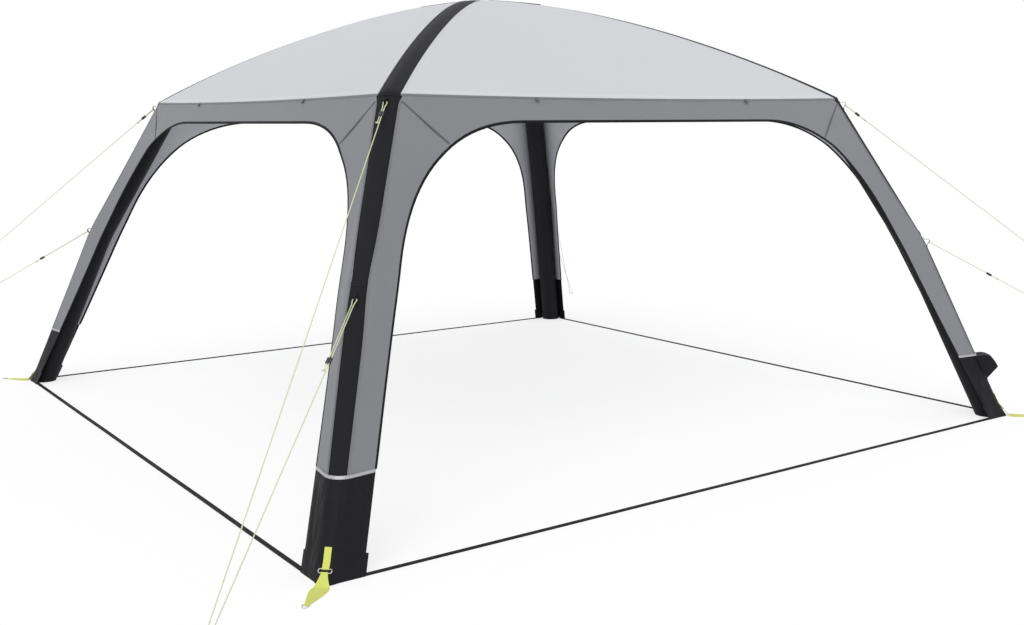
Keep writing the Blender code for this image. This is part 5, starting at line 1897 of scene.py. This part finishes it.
class SHELTER_OT_guys(bpy.types.Operator):
    """Tie the guy lines, with their sewn loops, sliders and knots"""
    bl_idname = "shelter.guys"
    bl_label = "Guy lines"
    SLIDER_HALF = 0.011
    SLIDER_DEPTH = 0.004
    SLIDER_LENGTH = 0.026
    SLIDER_HOLE = 0.0024
    SLIDER_EDGE = 0.0009
    SLIDER_SIDES = 32
    SLIDER_WAIST = (0.0008, 0.0006)
    CORD_STEP = 0.04
    LOOP_ENDS = (0.016, 0.006)
    KNOT_SIZE = 0.0021
    KNOT_CORD = 0.46
    KNOT_LIFT = 0.35

    def execute(self, context):
        form = form_of(context)
        for level, (height, drop, aside) in ANCHORS.items():
            points, line, middle = guy_route(form, height, drop, aside)
            dense = self.dense(points)
            length = sum((b - a).length for a, b in zip(dense, dense[1:]))
            cord = sweep("guy_cord", dense, form.s.guy_diameter / 2.0)
            lift = Vector((0.0, 0.0, form.s.guy_diameter * self.KNOT_LIFT))
            end_knot = self.knot(form, "guy_knot", points[-1] + lift)
            tail_knot = self.knot(form, "guy_stop", points[0] + line * STOP_LEAD)
            slider = self.slider(middle, line)
            loop = self.loop(form, height)
            for leg, turn in LEGS.items():
                name = level + "_" + leg
                place = Matrix.Rotation(math.radians(turn), 4, "Z")
                pieces = [dress(end_knot, "end_knot_" + name, "yellow_cord", turn, 180.0),
                          dress(tail_knot, "tail_knot_" + name, "yellow_cord", turn, 180.0)]
                buckle = dress(slider, "slider_" + name, "black_plastic", turn, 35.0,
                               "guy_slider_" + name, ["guy_slider_" + name])
                dress(loop, "guy_loop_" + name, "black_webbing", turn)
                piece = dress(cord, "guy_rope_" + name, "yellow_cord", turn, 180.0,
                              nodes=["guy_line_" + name])
                leave = points[0].lerp(points[1], 0.45)
                place @ leave
                [place @ p for p in dense]
                pieces + [buckle]
            for source in (cord, end_knot, tail_knot, slider, loop):
                bpy.data.objects.remove(source)
        return {"FINISHED"}

    def knot(self, form, name, centre):
        """Knot of the cord, drawn tight."""
        return sweep(name, knot_path(centre, self.KNOT_SIZE),
                     form.s.guy_diameter * self.KNOT_CORD, ends=False)

    def dense(self, points):
        """The route with close points, the same corners kept."""
        path = []
        for a, b in zip(points, points[1:]):
            steps = max(1, int((b - a).length / self.CORD_STEP))
            path += [a.lerp(b, i / steps) for i in range(steps)]
        return path + [points[-1]]

    def slider(self, middle, line):
        """Flat tube of plastic that grips both strands."""
        across = Vector((0.0, 1.0, 0.0))
        up = across.cross(line)
        rings = []
        half = self.SLIDER_LENGTH / 2.0
        edge = self.SLIDER_EDGE
        outer = self.SLIDER_HALF, self.SLIDER_DEPTH + self.SLIDER_HOLE
        slot = GUY_SPACING + self.SLIDER_HOLE, self.SLIDER_HOLE
        for (wide, deep), end, trim in ((outer, -half + edge, 0.0), (outer, -half * 0.3, 0.0),
                                        (outer, half * 0.3, 0.0), (outer, half - edge, 0.0),
                                        (outer, half, edge), (slot, half, -edge),
                                        (slot, half - edge, 0.0), (slot, edge - half, 0.0),
                                        (slot, -half, -edge), (outer, -half, edge)):
            wide, deep = wide - trim, deep - trim
            if abs(end) < half * 0.5 and trim == 0.0:
                wide, deep = wide - self.SLIDER_WAIST[0], deep - self.SLIDER_WAIST[1]
            ring = []
            for k in range(self.SLIDER_SIDES):
                angle = 2.0 * math.pi * (k + 0.5) / self.SLIDER_SIDES
                side = math.copysign(wide - deep, math.cos(angle)) + deep * math.cos(angle)
                ring.append(middle + across * side + up * (deep * math.sin(angle)) + line * end)
            rings.append(ring)
        rings.append(rings[0])
        buckle = grid("slider", rings, closed=True)
        close_shell(buckle, MERGE)
        return buckle

    def loop(self, form, height):
        """Webbing loop whose ends run flat up and down the leg, sewn on."""
        point, out, along, _, _ = guy_frame(form, height)
        radius = ANCHOR_REACH / 2.0
        ring = radius - ANCHOR_THICK / 2.0
        flat = out * (ANCHOR_THICK * 0.35)
        path = [point + along * (ring + end) + flat for end in self.LOOP_ENDS]
        for i in range(15):
            angle = math.pi * i / 14.0
            path.append(point + out * (form.SEAT + radius + ring * math.sin(angle))
                        + along * (ring * math.cos(angle)))
        path += [point - along * (ring + end) + flat for end in reversed(self.LOOP_ENDS)]
        return ribbon("guy_loop", [(p.x, p.z) for p in path], [ANCHOR_HALF] * len(path),
                      ANCHOR_THICK, columns=4)


# Stage

class ShelterView(bpy.types.PropertyGroup):
    """Where the camera stands and how it looks."""
    place: bpy.props.FloatVectorProperty(name="Camera place", default=(-3.736, -5.590, 1.590),
                                         size=3, subtype="TRANSLATION",
                                         description="Place of the camera")
    heading: turning("Heading", 0.6136, "Direction of the view, from +Y towards +X")
    dip: turning("Dip", 0.1615, "How far the view points below the horizon")
    tilt: turning("Tilt", -0.0039, "Turn of the camera about its line of sight")
    focal_length: bpy.props.FloatProperty(name="Focal length", default=41.47,
                                          description="Focal length in mm on a 36 mm sensor")


class SHELTER_OT_stage(bpy.types.Operator):
    """Set the pale floor, the studio lights and the camera"""
    bl_idname = "shelter.stage"
    bl_label = "Stage"
    FLOOR_SIZE = 400.0
    FLOOR_DROP = 0.0006
    LAMPS = (("key", (-5.5, -5.5, 7.5), 55.0, 1.15), ("fill", (8.0, -2.5, 6.0), 70.0, 0.20))
    SKY = 0.62
    SKY_TINT = (0.97, 0.98, 1.0, 1.0)
    FLOOR_TONE = 0.9
    FLOOR_SHADE = 0.35
    FLOOR_GLOW = 0.70

    def execute(self, context):
        bpy.ops.object.select_all(action="DESELECT")
        bpy.ops.mesh.primitive_plane_add(size=self.FLOOR_SIZE,
                                         location=(0.0, 0.0, -self.FLOOR_DROP))
        floor = context.object
        floor.name = "floor"
        floor.data.materials.append(self.floor_finish())
        self.world(context.scene)
        for name, place, softness, strength in self.LAMPS:
            light = bpy.data.lights.new(name, "SUN")
            light.angle = math.radians(softness)
            light.energy = strength
            lamp = bpy.data.objects.new(name, light)
            lamp.location = place
            lamp.rotation_euler = (-Vector(place)).to_track_quat("-Z", "Y").to_euler()
            context.scene.collection.objects.link(lamp)
        self.camera(context.scene)
        context.scene.view_settings.view_transform = "Standard"
        return {"FINISHED"}

    def seen_rays(self, tree):
        """1 for the rays that show the backdrop: to the camera, in metal and through glass."""
        rays = tree.nodes.new("ShaderNodeLightPath")
        seen = rays.outputs["Is Camera Ray"]
        for kind in ("Is Glossy Ray", "Is Transmission Ray"):
            both = tree.nodes.new("ShaderNodeMath")
            both.operation = "MAXIMUM"
            tree.links.new(seen, both.inputs[0])
            tree.links.new(rays.outputs[kind], both.inputs[1])
            seen = both.outputs[0]
        return seen

    def floor_finish(self):
        """Pale floor that looks white and keeps a light shadow of the object."""
        material = bpy.data.materials.new("floor")
        material.use_nodes = True
        tree = material.node_tree
        pale = tree.nodes["Principled BSDF"]
        white = tree.nodes.new("ShaderNodeBsdfPrincipled")
        for shader, tone in ((pale, self.FLOOR_TONE), (white, self.FLOOR_SHADE)):
            shader.inputs["Base Color"].default_value = (tone, tone, tone, 1.0)
            shader.inputs["Roughness"].default_value = 0.9
            shader.inputs["Specular IOR Level"].default_value = 0.0
        white.inputs["Emission Color"].default_value = (1.0, 1.0, 1.0, 1.0)
        white.inputs["Emission Strength"].default_value = self.FLOOR_GLOW
        mix = tree.nodes.new("ShaderNodeMixShader")
        tree.links.new(self.seen_rays(tree), mix.inputs[0])
        tree.links.new(pale.outputs[0], mix.inputs[1])
        tree.links.new(white.outputs[0], mix.inputs[2])
        tree.links.new(mix.outputs[0], tree.nodes["Material Output"].inputs[0])
        return material

    def world(self, scene):
        """White backdrop that lights the shelter more softly than it shows."""
        world = bpy.data.worlds.new("studio")
        scene.world = world
        world.use_nodes = True
        tree = world.node_tree
        tree.nodes.clear()
        seen = tree.nodes.new("ShaderNodeBackground")
        seen.inputs["Color"].default_value = (1.0, 1.0, 1.0, 1.0)
        soft = tree.nodes.new("ShaderNodeBackground")
        soft.inputs["Color"].default_value = self.SKY_TINT
        soft.inputs["Strength"].default_value = self.SKY
        mix = tree.nodes.new("ShaderNodeMixShader")
        out = tree.nodes.new("ShaderNodeOutputWorld")
        tree.links.new(self.seen_rays(tree), mix.inputs[0])
        tree.links.new(soft.outputs[0], mix.inputs[1])
        tree.links.new(seen.outputs[0], mix.inputs[2])
        tree.links.new(mix.outputs[0], out.inputs[0])

    def camera(self, scene):
        """Camera at the photograph's place and angle."""
        view = scene.shelter_view
        lens = bpy.data.cameras.new("camera")
        lens.sensor_width = 36.0
        lens.lens = view.focal_length
        lens.clip_end = 200.0
        camera = bpy.data.objects.new("camera", lens)
        camera.location = view.place
        ahead = Vector((math.sin(view.heading) * math.cos(view.dip),
                        math.cos(view.heading) * math.cos(view.dip), -math.sin(view.dip)))
        turn = ahead.to_track_quat("-Z", "Y") @ Quaternion((0.0, 0.0, 1.0), view.tilt)
        camera.rotation_euler = turn.to_euler()
        scene.collection.objects.link(camera)
        scene.camera = camera


class SHELTER_OT_finishes(bpy.types.Operator):
    """Mix the materials from the shelter's colours"""
    bl_idname = "shelter.finishes"
    bl_label = "Materials"

    def execute(self, context):
        make_finishes(context.scene.shelter_colours)
        return {"FINISHED"}


STEPS = ("finishes", "stage", "guys", "roof", "walls", "tapes", "seams", "beams", "crown",
         "gaiters", "straps", "pegging", "valves", "flaps")


class SHELTER_PT_panel(bpy.types.Panel):
    """Sidebar panel that lists the shelter's steps"""
    bl_idname = "SHELTER_PT_panel"
    bl_label = "Air Beam Shelter"
    bl_space_type = "VIEW_3D"
    bl_region_type = "UI"
    bl_category = "Shelter"

    def draw(self, context):
        for step in STEPS:
            self.layout.operator("shelter." + step)
        for group in (context.scene.shelter_sizes, context.scene.shelter_colours,
                      context.scene.shelter_view):
            box = self.layout.box()
            for key in group.__annotations__:
                box.prop(group, key)


GROUPS = {"shelter_sizes": ShelterSizes, "shelter_colours": ShelterColours,
          "shelter_view": ShelterView}
CLASSES = (*GROUPS.values(), SHELTER_OT_finishes, SHELTER_OT_stage, SHELTER_OT_guys,
           SHELTER_OT_roof, SHELTER_OT_walls, SHELTER_OT_tapes, SHELTER_OT_seams,
           SHELTER_OT_beams, SHELTER_OT_crown, SHELTER_OT_gaiters, SHELTER_OT_straps,
           SHELTER_OT_pegging, SHELTER_OT_valves, SHELTER_OT_flaps, SHELTER_PT_panel)


def register():
    for kind in CLASSES:
        bpy.utils.register_class(kind)
    for key, group in GROUPS.items():
        setattr(bpy.types.Scene, key, bpy.props.PointerProperty(type=group))


def unregister():
    for key in GROUPS:
        delattr(bpy.types.Scene, key)
    for kind in reversed(CLASSES):
        bpy.utils.unregister_class(kind)


def main():
    register()
    for step in STEPS:
        if getattr(bpy.ops.shelter, step)() != {"FINISHED"}:
            raise RuntimeError("step %s didn't finish" % step)


if __name__ == "__main__":
    main()
